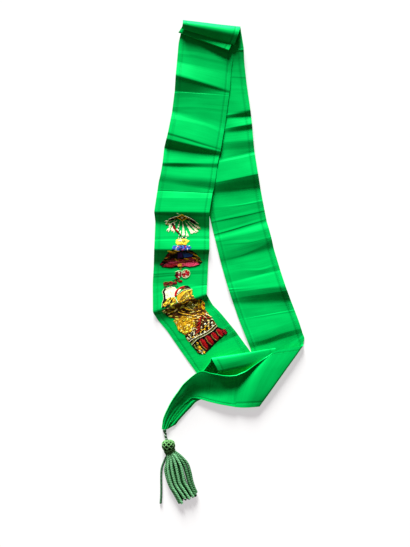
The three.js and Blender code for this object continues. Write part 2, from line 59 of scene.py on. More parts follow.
# Rows across the ribbon in order along it: name, end on the left selvedge, end on the right
# selvedge, heights of the cloth's middle at even stations, and rounding of the fold
RIBBON_ROWS = (
    ("panel_tip", (-110, -305), (-118, -305), (5.2, 5.5, 5.6, 5.6, 5.6, 5.4, 5.2), 3),
    ("panel_gather_1", (-102, -290), (-116, -288), (5.8, 6, 6.4, 7, 7.6, 8.2, 8.6), 8),
    ("panel_gather_2", (-93, -276), (-110, -272), (5.4, 5.8, 6.6, 7.8, 9.2, 10.6, 11.4), 8),
    ("panel_gather_3", (-80, -261), (-100, -252), (5.4, 5.4, 6.2, 8.2, 10.6, 12.8, 14.2), 8),
    ("panel_gather_4", (-71, -254), (-89, -236), (5.2, 5.2, 6.8, 9.4, 12, 14.4, 16), 8),
    ("panel_gather_5", (-63, -248), (-76, -219), (5, 5.2, 7, 9.8, 12.8, 15.4, 17), 7),
    ("panel_edge_1", (-49, -250), (-50, -199), (6, 5.4, 5.6, 7.4, 10.2, 12.6, 14.8, 16.6, 17.8), 7),
    ("panel_edge_2", (-35, -254), (-30, -202), (7, 6, 5.2, 6.2, 8.2, 10.8, 13.2, 15.6, 18), 7),
    ("panel_edge_3", (-21, -257.5), (-9, -206), (7.6, 6.8, 5.8, 5.8, 6.8, 8.6, 11, 14.2, 18), 7),
    ("panel_edge_4", (-6, -260.5), (6, -207), (8.6, 8, 7, 6, 5.4, 5.8, 7.8, 12, 17.6), 6),
    ("panel_seam", (12, -263.5), (17, -206), (9, 8, 7.2, 6.4, 5.8, 5.4, 5.4, 9, 16.4), 3),
    ("panel_seam_2", (14.5, -264), (33, -199.5), (8.4, 7.2, 6.2, 5.4, 4.8, 4.8, 5.4, 8, 14.6), 4),
    ("panel_valley", (18, -264.5), (57.3, -183), (7.4, 6.2, 5.2, 4.6, 4.6, 6, 11), 5),
    ("panel_slope", (29, -265), (75.5, -171), (8.2, 9, 9.4, 9.4, 9, 8.4, 9.4), 9),
    ("panel_brow", (43, -264.5), (93, -160.5), (9.2, 11.4, 12.2, 12.2, 11.6, 10.2, 9), 9),
    ("turn_high", (59, -263), (138, -153), (8, 9, 9.5, 9.5, 9.5, 9, 8), 3.5),
    ("turn_low", (59, -263), (139, -151), (1.2, 1.2, 1.2, 1.2), 3),
    ("back_foot", (53, -219), (141, -139), (0.75, 0.75, 0.75, 0.75), 2),
    ("back_crease", (42.5, -158), (137.2, -129.6), (0.75, 0.75, 0.8, 0.8), 1.4),
    ("back_brow_1", (35.4, -140.1), (131.5, -111.5), (3.2, 4.2, 4, 2.8), 6),
    ("back_low_1", (21.2, -104.7), (122.2, -86.5), (0.8, 1.2, 1.2, 0.8), 8),
    ("back_valley_1", (11.5, -76.4), (116.2, -71), (0.8, 0.8, 0.8, 0.8), 4),
    ("back_slope_1", (4.8, -56.4), (106, -44.8), (4, 5.8, 7.8, 9.2), 6),
    ("back_ridge_1", (0.7, -44.2), (97.7, -19.1), (2.8, 3.6, 4.2, 4.6), 1.2),
    ("back_valley_2", (-11.1, -2.7), (84.7, 24.6), (0.8, 0.8, 1, 1), 4),
    ("back_brow_2", (-15.7, 16.4), (80.4, 43.7), (2.6, 3.2, 4.4, 5.8), 4),
    ("back_ridge_2", (-21.1, 38.2), (75.7, 61), (2.6, 3.2, 4.2, 4.8), 3),
    ("back_flat", (-22.8, 44.6), (72.5, 71.9), (0.8, 1, 1.2, 1.4), 3),
    ("back_rise_3", (-33.2, 88.3), (65.6, 106.5), (1.2, 1.6, 2, 2.2), 8),
    ("back_valley_3", (-39.4, 123), (60.8, 132.9), (1.8, 1.4, 1, 0.8, 0.8, 0.8, 0.8), 3),
    ("back_ridge_3", (-42, 139), (56.1, 159.2), (5.2, 6.2, 7.4, 8.4, 9.2, 9.6, 9.8), 1),
    ("back_valley_4", (-47.9, 176.5), (50.2, 198.4), (2.8, 3.2, 3, 2.6, 2.4, 2.4, 2.4), 2),
    ("back_dip_4", (-50.7, 199.3), (49, 208.4), (2, 2.2, 2.4, 2.6, 3, 3.4, 3.4), 3),
    ("back_swell_2", (-52.4, 212), (47.8, 220.2), (2.6, 3, 3.4, 4, 5, 5.8, 6), 4),
    ("back_valley_5", (-54.6, 225.7), (46.2, 241.2), (1.8, 2, 2.4, 2.6, 2.8, 3, 3.2), 2),
    ("back_ridge_4", (-56, 234.8), (45.3, 250.2), (1.4, 1.6, 2.2, 3.2, 5.2, 6.6, 7.2), 2),
    ("back_valley_6", (-58.4, 254), (43.8, 265), (0.8, 1.2, 1.8, 2.4, 2.8, 2.8, 2.8), 1.5),
    ("back_ridge_5", (-60, 262), (42.4, 275), (0.8, 1.4, 2.2, 3, 4.6, 6.8, 8), 2),
    ("back_rise_6", (-64.3, 308.5), (37.6, 308.5), (0.8, 1, 1.4, 2.2, 4, 5.2, 6), 8),
    ("back_flat_2", (-66, 323.1), (36, 319.4), (0.8, 1, 1.4, 2, 3.2, 4.4, 5.2), 8),
    ("back_valley_7", (-67.9, 361.3), (31.1, 363.1), (0.8, 0.9, 1.2, 1.6, 2.6, 4, 7), 8),
    ("back_ridge_6", (-71, 391), (30, 387), (0.8, 0.8, 0.8, 1, 2, 5.6, 12), 6),
    ("top_low", (-80, 436.5), (24, 423.5), (0.9, 0.9, 0.9, 1.2, 2.4, 8, 14.5), 6.5),
    ("top_high", (-80, 437.5), (24, 424.5), (15, 15.5, 16, 17), 6.5),
    ("roll_crest", (-80, 429), (21, 412), (20, 21, 22, 22), 7),
    ("roll_edge", (-82, 422), (13, 392), (13.4, 13.2, 13.4, 13.6), 1.4),
    ("roll_under", (-82, 422), (13, 392), (11, 10.9, 11.1, 11.4), 1.2),
    ("inner_high", (-76, 430), (17, 413), (10.2, 10, 10, 10.2), 1.2),
    ("inner_low", (-76, 430), (17, 413), (8, 7.8, 7.9, 8.1), 1.2),
    ("flap_edge", (-88, 416), (3, 382), (8, 9, 11.4, 14.6), 1.3),
    ("flap_under", (-88, 416), (3, 382), (4.9, 6, 8.6, 12), 1.2),
    ("neck_high", (-81, 427), (13, 402), (5.6, 5.6, 5.6, 5.8), 1.2),
    ("neck_low", (-81, 427), (13, 402), (3.3, 3.3, 3.6, 4), 1.2),
    ("front_shade", (-88, 397), (11, 374), (3.2, 3.2, 3.6, 5.2), 8),
    ("front_line_1", (-91, 361), (7, 339), (5.8, 5.6, 5.4, 5.2), 4),
    ("front_ridge_1", (-93, 338), (5, 310), (12.4, 11.4, 9.2, 6.6), 2.5),
    ("front_foot_1", (-95, 310), (4, 303), (3.2, 3.8, 5.4, 5.8), 2.5),
    ("front_valley_1", (-100, 271), (-4, 245), (2.4, 2.8, 4, 4.8), 8),
    ("front_shelf", (-107, 234), (-11, 205), (11, 10.8, 9.6, 7.8), 2),
    ("front_ridge_2", (-110, 222), (-12, 199), (10.8, 10.6, 9.6, 7.6), 2),
    ("front_foot_2", (-114, 208), (-14, 192), (1.4, 2, 3.2, 4.6), 3),
    ("front_crest_2", (-117, 179), (-17, 178), (6.6, 6.4, 6.4, 7.4), 1.5),
    ("front_line_2", (-118, 173.5), (-18, 170.5), (5.4, 3.6, 4.4, 5.8), 2),
    ("front_swell_1", (-121, 156.5), (-21.5, 146), (7.6, 7, 7.6, 8.8), 5),
    ("front_dip_1", (-124, 145), (-24, 131.5), (6, 5, 4.6, 5.2), 3),
    ("front_valley_2", (-126, 131), (-26, 125.5), (6.4, 5.2, 4.7, 5.4), 1.5),
    ("front_ridge_3", (-132, 90), (-32, 89), (12.8, 12.2, 11.6, 11.4), 2),
    ("front_foot_3", (-130, 71), (-32, 58.5), (6.2, 3.4, 1.6, 1.6), 4),
    ("front_ridge_4", (-132, 22), (-32, 21), (12.8, 11.8, 10, 8.8), 2),
    ("front_foot_4", (-133, -4), (-34, 1.5), (3, 2.2, 1.6, 1.4), 5),
    ("front_swell_2", (-135, -41), (-36, -41), (2.8, 2, 2.2, 3.6), 8),
    ("bend_ridge", (-134.5, -92), (-37, -60), (7.4, 7.4, 7.4, 7.8), 3),
    ("bend_foot", (-125, -107.5), (-26.5, -78.5), (0.8, 0.8, 0.8, 0.9), 4),
    ("front_low_1", (-109, -126), (-13, -92), (0.8, 1.6, 2.4, 2.2), 8),
    ("front_low_2", (-83, -164), (15, -126), (0.8, 1.4, 2, 2.2), 8),
    ("pleat_low", (-53, -206), (50, -174), (0.9, 0.9, 1.4, 2.2), 1.2),
    ("pleat_turned", (-53, -206), (50, -174), (3.4, 3.4, 3.4, 3.6), 1.2),
    ("pleat_hollow", (-44, -199), (58, -172), (9.5, 4.2, 3.4, 3.4, 3.4, 3.4, 3.4), 2),
    ("pleat_inside", (-31, -181), (78, -165),
     (14.2, 5, 3.3, 3.3, 3.3, 3.3, 3.3, 3.3, 3.2, 3, 2.6, 2.2, 2), 2),
    ("pleat_crest", (-28.5, -174), (88, -157.5), (16, 15, 13.4, 11, 7.4, 4.6, 2.6), 2),
    ("pleat_top", (-27, -178), (88.5, -159), (18.4, 17.6, 16, 13, 8.8, 5.2, 3.2), 3),
    ("pleat_roof", (-21, -188), (88, -165), (18.8, 17.8, 16.2, 13, 8.6, 5.2, 3.2), 6),
    ("pleat_slope", (-15, -200), (84, -177), (16.5, 15.6, 14, 11.2, 7.4, 4.8, 3.2), 5),
    ("end_turn_1", (-24, -209), (58, -207), (5.2, 4.2, 3.5, 3.3), 7),
    ("end_turn_2", (-35, -217), (36, -236), (3.3, 3.3, 3.3, 3.3), 7),
    ("end_turn_3", (-51, -230), (-4, -248), (3.3, 3.3, 3.3, 3.3), 7),
    ("end_gather_1", (-69, -246), (-48, -251), (3, 3, 3.2, 3), 6),
    ("end_gather_2", (-87, -268), (-68, -268), (2, 3.4, 3.6, 2), 6),
    ("end_gather_3", (-101, -288), (-87, -288), (1.6, 3.2, 3.2, 1.6), 6),
    ("end_gather_4", (-110, -298), (-94, -297), (1.8, 2.6, 2.8, 1.6), 2),
    ("end_tip", (-117, -305), (-109, -304), (2.2, 2.4, 2.4, 2.2), 3),
)

# Rows whose line is bowed, with how far their middle lies from the straight line in X and Y
BOWED_ROWS = {
    "pleat_low": (0, -11), "pleat_turned": (0, -11), "panel_seam_2": (-5, 1), "panel_valley": (-11, 5),
    "panel_slope": (-10, 5), "panel_brow": (-7, 4),
}

# Fine creases between two rows of the table: the row before, share of the way to the next row and
# rise of the cloth at even stations across the ribbon, and the crease's reach before and after
FINE_CREASES = (
    ("panel_seam", (0.1, 0.08, 0.06, 0.04), (-0.7, -0.6, -0.6, -0.5), 1.2, 1.2),
    ("panel_edge_2", (0.1, 0.1, 0.1, 0.1), (-0.5, -0.5, -0.4, -0.4), 1.2, 1.2),
    ("back_crease", (0.55, 0.41, 0.51, 0.43), (0.59, 1.2, 1.15, 0.79), 0, 0),
    ("back_brow_1", (1.09, 0.96, 0.93, 0.9), (0.0, 0.24, 0.41, 0.34), 2.5, 3.5),
    ("back_valley_1", (0.42, 0.56, 0.63, 0.7), (0.52, 0.83, 0.98, 1.19), 0, 0),
    ("back_slope_1", (0.44, 0.25, 0.25, 0.33), (0.57, 0.13, 0.0, 0.0), 3, 2),
    ("back_ridge_1", (0.12, 0.11, 0.1, 0.08), (-0.67, -0.89, -0.9, -0.61), 0, 0),
    ("back_ridge_1", (0.55, 0.46, 0.29, 0.32), (0.0, 0.09, 0.5, 0.03), 2.5, 3.5),
    ("back_valley_2", (0.41, 0.19, 0.37, 0.65), (0.26, 0.4, 0.62, 0.35), 0, 0),
    ("back_brow_2", (0.61, 0.39, 0.07, -0.12), (0.08, 0.3, 0.3, 0.16), 2.5, 5),
    ("back_flat", (0.11, 0.11, 0.13, 0.15), (0.43, 0.7, 0.63, 0.19), 1.8, 4),
    ("back_flat", (0.62, 0.61, 0.6, 0.61), (0.43, 0.6, 0.6, 0.41), 2.0, 5),
    ("back_rise_3", (0.28, 0.18, 0.12, 0.15), (0.0, 0.22, 0.46, 0.37), 5, 2.0),
    ("back_valley_3", (0.78, 0.78, 0.75, 0.7), (0.02, 0.23, 0.32, 0.37), 0, 0),
    ("back_ridge_3", (0.82, 0.89, 0.88, 0.89), (0.31, 0.68, 0.9, 0.8), 0, 0),
    ("back_valley_5", (1.01, 0.77, 0.9, 0.8), (0.22, 0.27, 0.42, 0.3), 0, 0),
    ("back_valley_6", (0.59, 0.59, 0.62, 0.66), (0.27, 0.58, 0.8, 0.39), 0, 0),
    ("back_flat_2", (0.32, 0.35, 0.38, 0.35), (0, 0.09, 0.27, 0.27), 2, 5),
    ("back_valley_7", (0.74, 0.77, 0.8, 0.84), (0.0, 0.19, 0.71, 0.83), 1.6, 6),
    ("front_shade", (0.54, 0.41, 0.39, 0.39), (0.29, 0.46, 0.36, 0.15), 7, 5),
    ("front_shade", (0.93, 0.92, 0.92, 0.92), (-0.2, -0.2, -0.2, -0.2), 0, 0),
    ("front_ridge_1", (0.28, 0.25, 0.33, 0.5), (-0.6, -1.2, -1.2, -0.2), 0, 0),
    ("front_foot_1", (0.09, 0.01, 0.03, 0.01), (0.4, 0.4, 0.24, 0.09), 1.6, 8),
    ("front_foot_1", (0.74, 0.57, 0.51, 0.47), (0.3, 0.2, 0.2, 0.18), 6, 5),
    ("front_valley_1", (0.32, 0.22, 0.21, 0.31), (1.36, 0.77, 0.61, 0.32), 0, 0),
    ("front_shelf", (0.3, 0.28, 0.41, 0.49), (-0.67, -0.86, -0.64, -0.24), 0, 0),
    ("front_valley_2", (0.06, 0.04, 0.03, 0.03), (-0.41, -0.58, -0.56, -0.5), 1.6, 2.2),
    ("front_valley_2", (0.38, 0.36, 0.33, 0.31), (0.94, 1.08, 1.1, 1.1), 0, 0),
    ("front_ridge_3", (0.25, 0.24, 0.23, 0.25), (-0.6, -0.9, -0.7, -0.3), 0, 0),
    ("front_foot_3", (0.64, 0.58, 0.52, 0.48), (-0.35, -0.5, -0.6, -0.7), 5, 3),
    ("front_ridge_4", (0.27, 0.25, 0.24, 0.23), (-0.37, -0.68, -1.19, -1.54), 0, 0),
    ("front_foot_4", (0.5, 0.46, 0.42, 0.4), (0.35, 0.3, 0.2, 0.15), 3, 2),
    ("front_foot_4", (0.68, 0.62, 0.56, 0.54), (-0.25, -0.3, -0.25, -0.2), 2, 4),
    ("front_swell_2", (0.34, 0.28, 0.2, 0.09), (-0.1, -0.2, -0.3, -0.6), 3, 3),
    ("bend_ridge", (0.29, 0.37, 0.37, 0.35), (-0.81, -1.85, -2.58, -3.18), 0, 0),
    ("front_low_1", (0.46, 0.63, 0.76, 0.72), (0.2, 0.2, 0.2, 0.29), 5, 4),
    ("front_low_2", (0.22, 0.24, 0.17, 0.15), (0.0, -0.53, -1.24, -1.48), 0, 0),
    ("front_low_2", (0.53, 0.53, 0.54, 0.57), (0.6, 0.45, 0.32, 0.17), 0, 0),
)

# Tassel: part, middle x and y of each ring, half width, half height, height of its middle
TASSEL_ROWS = (
    ("head_top", -106.9, -324, 5.4, 4.3, 9.8),
    ("head_shoulder", -106.8, -325.6, 9, 7.2, 9.8),
    ("head_upper", -106.6, -328.6, 11.6, 9.3, 9.8),
    ("head_widest", -106.4, -332.8, 12.3, 9.8, 9.8),
    ("head_lower", -105.6, -337.6, 11.6, 9.2, 9.4),
    ("head_foot", -104.4, -342, 10.2, 7.8, 8.6),
    ("waist", -102.8, -346, 9.6, 6.6, 7.6),
    ("skirt_top", -100.2, -351, 12, 6.9, 7.2),
    ("skirt_flare", -95.8, -359.6, 16, 7.2, 7.2),
    ("skirt_upper", -91.2, -372.2, 20.4, 7.2, 7.2),
    ("skirt_widest", -87, -388.6, 22, 7, 7),
    ("skirt_middle", -83, -403.1, 21.6, 6.6, 6.6),
    ("skirt_lower", -78.4, -416, 20.8, 6.1, 6.1),
    ("strand_ends", -72.2, -431, 20.8, 5.4, 5.4),
)
WAIST_RING = 6

# Threads of the tassel: name, colour, roughness and sheen
TASSEL_THREADS = (
    ("strand_cord", (0.19, 0.47, 0.24), 0.6, 0.5),
    # painted shade: the next thread is a dark copy of the tassel's green, for the strands, ropes and core
    # that lie in shade
    ("shaded_cord", (0.012, 0.085, 0.02), 0.75, 0.1),
    ("head_cord", (0.15, 0.34, 0.13), 0.65, 0.4),
    ("loose_cord", (0.07, 0.17, 0.09), 0.65, 0.4),
)
PALE, SHADED, HEAD, LOOSE = range(4)

# Strands in front of the skirt: places across it at the waist, hips, knees and ends, thickness,
# thread, and how far it reaches past the others. The three outer strands take the dark copy of
# the thread, as painted shade at the skirt's sides
FRONT_STRANDS = (
    ((0.9, 1.2, 1.08, 0.86), 2.4, SHADED, 2.0), ((0.7, 0.93, 0.92, 0.64), 2.7, PALE, 4.0),
    ((0.32, 0.53, 0.52, 0.18), 2.8, PALE, -1.5), ((-0.04, 0.06, 0.12, -0.24), 2.8, PALE, 1.5),
    ((-0.4, -0.42, -0.36, -0.66), 2.8, PALE, 1.0), ((-0.68, -0.8, -0.8, -0.93), 2.5, SHADED, -1.0),
    ((-0.9, -1.12, -1.06, -1.1), 2.3, SHADED, -4.0),
)
LOOSE_STRAND = (
    (-103.5, -346.5, 7.6), (-110.0, -355, 4.4), (-115.2, -366, 2.7), (-118.8, -377, 2.5),
    (-119.6, -392, 2.5), (-119.4, -410, 2.5), (-119.6, -425, 2.5), (-120.6, -440.0, 2.5),
)
NET_ROPES = 8
NET_TURN = 2.5
BINDING_TURNS = 7

# The middle of the solid's wall over its underside, and the least height of the cloth's middle
CAD_HALF_THICKNESS = 0.75
LOWEST_MIDDLE = 0.75
# Cloth lower than this lies on the table
TOUCHES_TABLE = 0.15
# Steps along straight stretches and round folds, and a fold's longest share of the way to the next
LENGTH_STEP = 4.0
ARC_STEP = 0.8
LONGEST_ROUNDING = 0.45
# Least shares of the way between a crease and the rows beside it, and between two creases
CREASE_MARGIN = 0.03
CREASE_GAP = 0.008
# The drawn-in seam of the hem, half the slope at the hem's inner edge, and the width under which the
# ribbon is gathered
SEAM_DEPTH = 0.3
SEAM_HALF_WIDTH = 0.7
HEM_SLOPE = 0.4
GATHERED_WIDTH = 70
SMOOTH_ANGLE = math.radians(50)

# Hem stitches along the ribbon, and a stitch's rings: share of its length, rise and thickness
FIRST_STITCH = 4
LAST_STITCH = 6
STITCH_LENGTH = 2.4
STITCH_PITCH = 3.4
STITCH_RINGS = ((0, -0.1, 0.17), (0.25, 0.16, 0.27), (0.75, 0.16, 0.27), (1, -0.1, 0.17))

# The row where the embroidered panel starts, the ribbon's width there, the points of a leaf's side
# and the petals of a rosette
EMBROIDERY_ROW = "front_ridge_3"
PANEL_SPAN = 100
LEAF_POINTS = 7
PETALS = 7

# Colours of the gloss, the sky and the floor's own glow, the low sun's direction and spread, and
# the middle of the view in the tables' X and Y
SATIN_GLOSS = (0.0, 1.0, 0.35, 1)
SKY_COLOR = (1, 1, 0.72, 1)
FLOOR_GLOW = (1, 0.955, 1, 1)
FLOOR_GLOW_STRENGTH = 0.47
KEY_DIRECTION = (-0.12, 0.975, 0.328)
KEY_SPREAD = math.radians(22)
VIEW_MIDDLE = (-40.0, -21.8)


class SashClothSettings(bpy.types.PropertyGroup):
    """Sizes and colour of the ribbon."""

    width: bpy.props.FloatProperty(
        name="Ribbon width", description="Width of the ribbon laid flat", default=0.1, unit="LENGTH"
    )
    thickness: bpy.props.FloatProperty(
        name="Cloth thickness", description="Satin and lining together", default=0.0011, unit="LENGTH"
    )
    hem: bpy.props.FloatProperty(
        name="Hem width", description="Width of the turned hem on the reverse", default=0.010, unit="LENGTH"
    )
    hem_fold: bpy.props.FloatProperty(
        name="Hem fold", description="Extra thickness of the turned hem", default=0.0007, unit="LENGTH"
    )
    stitch_inset: bpy.props.FloatProperty(
        name="Stitch line", description="Distance of the stitches from the edge", default=0.007, unit="LENGTH"
    )
    color: bpy.props.FloatVectorProperty(
        name="Cloth colour", description="Colour of the satin", size=3, subtype="COLOR",
        default=(0.0006, 0.5, 0.11), min=0, max=1,
    )


class SashStageSettings(bpy.types.PropertyGroup):
    """Floor, lights and camera."""

    floor_color: bpy.props.FloatVectorProperty(
        name="Floor colour", description="Colour of the table", size=3, subtype="COLOR",
        default=(0.4, 0.41, 0.4), min=0, max=1,
    )
    camera_height: bpy.props.FloatProperty(
        name="Camera height", description="Height of the camera over the table", default=2.4, unit="LENGTH"
    )
    view_length: bpy.props.FloatProperty(
        name="View length", description="Table seen from top to bottom", default=0.9955, unit="LENGTH"
    )
    key_power: bpy.props.FloatProperty(
        name="Key light", description="Strength of the low key light", default=8.5
    )
    sky_power: bpy.props.FloatProperty(
        name="Sky light", description="Strength of the light from all round", default=0.12
    )


def table_place(x, y, z):
    """A place of the tables as a point of the scene, in metres."""
    return Vector(((x - SASH_MIDDLE[0]) * MM, (y - SASH_MIDDLE[1]) * MM, z * MM))


def deselect_all():
    for item in bpy.context.selected_objects:
        item.select_set(False)


def show(name, mesh, turn_outwards=False):
    """Puts a mesh into the scene, smooth and lying with the sash."""
    item = bpy.data.objects.new(name, mesh)
    bpy.context.scene.collection.objects.link(item)
    deselect_all()
    bpy.context.view_layer.objects.active = item
    item.select_set(True)
    if turn_outwards:
        bpy.ops.object.mode_set(mode="EDIT")
        bpy.ops.mesh.select_all(action="SELECT")
        bpy.ops.mesh.normals_make_consistent(inside=False)
        bpy.ops.object.mode_set(mode="OBJECT")
    bpy.ops.object.shade_smooth_by_angle(angle=SMOOTH_ANGLE)
    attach(item, "root")
    return item


class Piece:
    """Points and faces of one piece in the making, with a finish and a shade for each face."""

    def __init__(self):
        self.points = []
        self.faces = []
        self.finishes = []
        self.shades = []

    def face(self, corners, finish, shade):
        self.faces.append(corners)
        self.finishes.append(finish)
        self.shades.append(shade)

    def tube(self, rings, finish=0, shade=0.5):
        """A closed tube through rings of points, capped at both ends."""
        first = len(self.points)
        sides = len(rings[0])
        for ring in rings:
            self.points.extend(ring)
        for i in range(len(rings) - 1):
            for j in range(sides):
                near = first + i * sides
                far = near + sides
                following = (j + 1) % sides
                self.face((near + j, near + following, far + following, far + j), finish, shade)
        last = first + (len(rings) - 1) * sides
        self.face(tuple(first + j for j in reversed(range(sides))), finish, shade)
        self.face(tuple(last + j for j in range(sides)), finish, shade)

    def build(self, name, materials):
        """Makes the piece's object, smooth, with its normals outwards."""
        mesh = bpy.data.meshes.new(name)
        mesh.from_pydata([tuple(point) for point in self.points], [], self.faces)
        for material in materials:
            mesh.materials.append(material)
        mesh.polygons.foreach_set("material_index", self.finishes)
        shade = mesh.attributes.new("shade", "FLOAT", "FACE")
        shade.data.foreach_set("value", self.shades)
        return show(name, mesh, turn_outwards=True)


# ---- the ribbon's surface


def between(a, b, c, d, f):
    """Catmull-Rom curve through four values or points, at a share f of the way from b to c."""
    return 0.5 * (2 * b + (c - a) * f + (2 * a - 5 * b + 4 * c - d) * f**2 + (3 * b - a - 3 * c + d) * f**3)


def curve_through(values, place):
    """Catmull-Rom curve through even stations of values, at a place from 0 to 1."""
    stations = [2 * values[0] - values[1], *values, 2 * values[-1] - values[-2]]
    reach = place * (len(values) - 1)
    i = np.minimum(reach.astype(int), len(values) - 2)
    return between(*(np.array(stations)[i + k] for k in range(4)), reach - i)


def station_heights(heights, across):
    """Heights along a row: a cubic through four stations, or a smooth curve through more."""
    if len(heights) > 4:
        return curve_through(heights, across)
    u = across * 3
    a, b, c, d = heights
    return (
        -a * (u - 1) * (u - 2) * (u - 3) / 6
        + b * u * (u - 2) * (u - 3) / 2
        - c * u * (u - 1) * (u - 3) / 2
        + d * u * (u - 1) * (u - 2) / 6
    )


def row_points(row, across):
    name, left, right, heights, _ = row
    bow_x, bow_y = BOWED_ROWS.get(name, (0, 0))
    swell = 4 * across * (1 - across)
    x = left[0] + (right[0] - left[0]) * across + bow_x * swell
    y = left[1] + (right[1] - left[1]) * across + bow_y * swell
    return np.stack([x, y, station_heights(heights, across)], axis=1)


def lengths_of(ways):
    return np.linalg.norm(ways, axis=1, keepdims=True)


def with_creases(columns):
    """The table's rows as (name, points, rounding), with the fine creases set between them."""
    rows = []
    across = columns[:, None]
    for row, following in zip(RIBBON_ROWS, RIBBON_ROWS[1:] + (None,)):
        near = row_points(row, columns)
        rows.append((row[0], near, row[4]))
        if following is None:
            continue
        far = row_points(following, columns)
        gap = lengths_of(far - near)
        places = []
        for crease in (crease for crease in FINE_CREASES if crease[0] == row[0]):
            _, shares, rises, before, after = crease
            middle = curve_through(shares, across)
            rise = curve_through(rises, across)
            if before:
                places += [(middle - before / gap, 0), (middle, rise), (middle + after / gap, 0)]
            else:
                places.append((middle, rise))
        reached = np.full_like(across, CREASE_MARGIN)
        for k, (place, lift) in enumerate(places):
            later = len(places) - 1 - k
            place = np.clip(place, reached, 1 - CREASE_MARGIN - CREASE_GAP * later)
            reached = place + CREASE_GAP
            points = near + (far - near) * place
            points[:, 2:] += lift
            points[:, 2] = np.maximum(points[:, 2], LOWEST_MIDDLE)
            rows.append(("crease", points, 0.5))
    return rows


def is_smooth(name):
    return name.startswith(("panel_", "end_")) and name not in ("panel_tip", "end_tip", "panel_seam")


class RibbonSurface:
    """The middle surface of the folded ribbon, as rows of points along it."""

    def __init__(self, columns):
        self.across = columns
        table = with_creases(columns)
        names = [name for name, _, _ in table]
        corners = [points for _, points, _ in table]
        rows = [corners[0]]
        self.row_index = {}
        for r in range(1, len(corners) - 1):
            corner, rounding = corners[r], table[r][2]
            if is_smooth(names[r]) and is_smooth(names[r - 1]):
                self.curve_to(rows, corners[max(0, r - 2)], corners[r - 1], corner, corners[r + 1])
                continue
            if is_smooth(names[r]):
                self.run_to(rows, corner)
                rows.append(corner)
                continue
            before, after = corners[r - 1] - corner, corners[r + 1] - corner
            reach_before = np.minimum(rounding, lengths_of(before) * LONGEST_ROUNDING)
            reach_after = np.minimum(rounding, lengths_of(after) * LONGEST_ROUNDING)
            start = corner + before / lengths_of(before) * reach_before
            end = corner + after / lengths_of(after) * reach_after
            self.run_to(rows, start)
            arc_steps = 2 if rounding < 1 else max(4, math.ceil(rounding / ARC_STEP))
            for k in range(arc_steps + 1):
                t = k / arc_steps
                rows.append(start * (1 - t) ** 2 + corner * 2 * t * (1 - t) + end * t**2)
            self.row_index[names[r]] = len(rows) - 1 - arc_steps // 2
        self.run_to(rows, corners[-1])
        rows.append(corners[-1])
        self.points = np.array(rows)
        self.set_normals()
        steps = np.linalg.norm(np.diff(self.points, axis=0), axis=2)
        self.along = np.vstack([np.zeros(len(columns)), np.cumsum(steps, axis=0)])

    @staticmethod
    def curve_to(rows, earlier, start, target, later):
        """Rows on a smooth curve from the last row to the next."""
        steps = math.ceil(lengths_of(target - start).max() / LENGTH_STEP)
        for k in range(1, steps + 1):
            rows.append(between(earlier, start, target, later, k / steps))

    @staticmethod
    def run_to(rows, target):
        """Even rows over the straight stretch up to the next fold."""
        start = rows[-1]
        steps = math.ceil(lengths_of(target - start).max() / LENGTH_STEP)
        for k in range(1, steps):
            rows.append(start + (target - start) * k / steps)

    def set_normals(self):
        along = np.gradient(self.points, axis=0)
        across = np.gradient(self.points, axis=1)
        normals = np.cross(along, across)
        self.normals = normals / np.linalg.norm(normals, axis=2, keepdims=True)

    def move(self, distances):
        """Moves the surface out along its normals."""
        self.points = self.points + self.normals * distances[..., None]
        self.set_normals()


def cloth_ripples(surface, width):
    """Small uneven waves of the satin, mostly across the ribbon, with gathers at its ends."""
    rows, columns = surface.points.shape[:2]
    ripples = np.zeros((rows, columns))
    row_width = np.linalg.norm(surface.points[:, -1] - surface.points[:, 0], axis=1)
    for i in range(rows):
        gathered = max(0.0, 1 - row_width[i] / GATHERED_WIDTH)
        s = surface.along[i, columns // 2]
        for j in range(columns):
            a = surface.across[j] * width / MM
            soft = noise.noise(Vector((a / 42, s / 24, 3.1)))
            fine = noise.noise(Vector((a / 30, s / 5.5, 8.7)))
            pleats = math.cos(surface.across[j] * math.pi * 5 + 0.9 + s / 60)
            ripples[i, j] = soft * 0.4 + fine * 0.1 + pleats * gathered**2 * 0.9
    return ripples


def column_places(width_mm, inset_mm, hem_mm):
    """Places across the ribbon from 0 to 1, closer at the edge, the stitches and the hem's step."""
    stitches = [inset_mm - 0.8, inset_mm, inset_mm + 0.8]
    edge = [0, 0.8, 2.6, 4.6, *stitches, hem_mm - HEM_SLOPE, hem_mm + HEM_SLOPE]
    half = edge + list(np.linspace(hem_mm + 3.2, width_mm / 2, 13))
    return np.array(half + [width_mm - place for place in reversed(half[:-1])]) / width_mm


def make_surface(cloth):
    """The ribbon's front and back in metres, with its ripples, seams and turned hems."""
    width_mm = cloth.width / MM
    columns = column_places(width_mm, cloth.stitch_inset / MM, cloth.hem / MM)
    surface = RibbonSurface(columns)
    surface.move(cloth_ripples(surface, cloth.width))
    half = cloth.thickness / MM / 2
    surface.points[..., 2] -= CAD_HALF_THICKNESS - half
    inset = np.minimum(columns, 1 - columns) * width_mm
    groove = np.exp(-(((inset - cloth.stitch_inset / MM) / SEAM_HALF_WIDTH) ** 2)) * SEAM_DEPTH
    hem = np.clip((cloth.hem / MM + HEM_SLOPE - inset) / (2 * HEM_SLOPE), 0, 1) * cloth.hem_fold / MM
    front = surface.points + surface.normals * (half - groove)[None, :, None]
    back = surface.points - surface.normals * (half + hem - groove)[None, :, None]
    middle = np.array(SASH_MIDDLE + (0,))
    for side in (front, back):
        low = side[..., 2] < TOUCHES_TABLE
        side[..., 2][low] = 0.0
    surface.front = (front - middle) * MM
    surface.back = (back - middle) * MM
    surface.place_list = list(columns)
    surface.panel_first = surface.row_index[EMBROIDERY_ROW]
    middle_line = surface.along[surface.panel_first:, len(columns) // 2]
    surface.panel_along = list(middle_line - middle_line[0])
    return surface


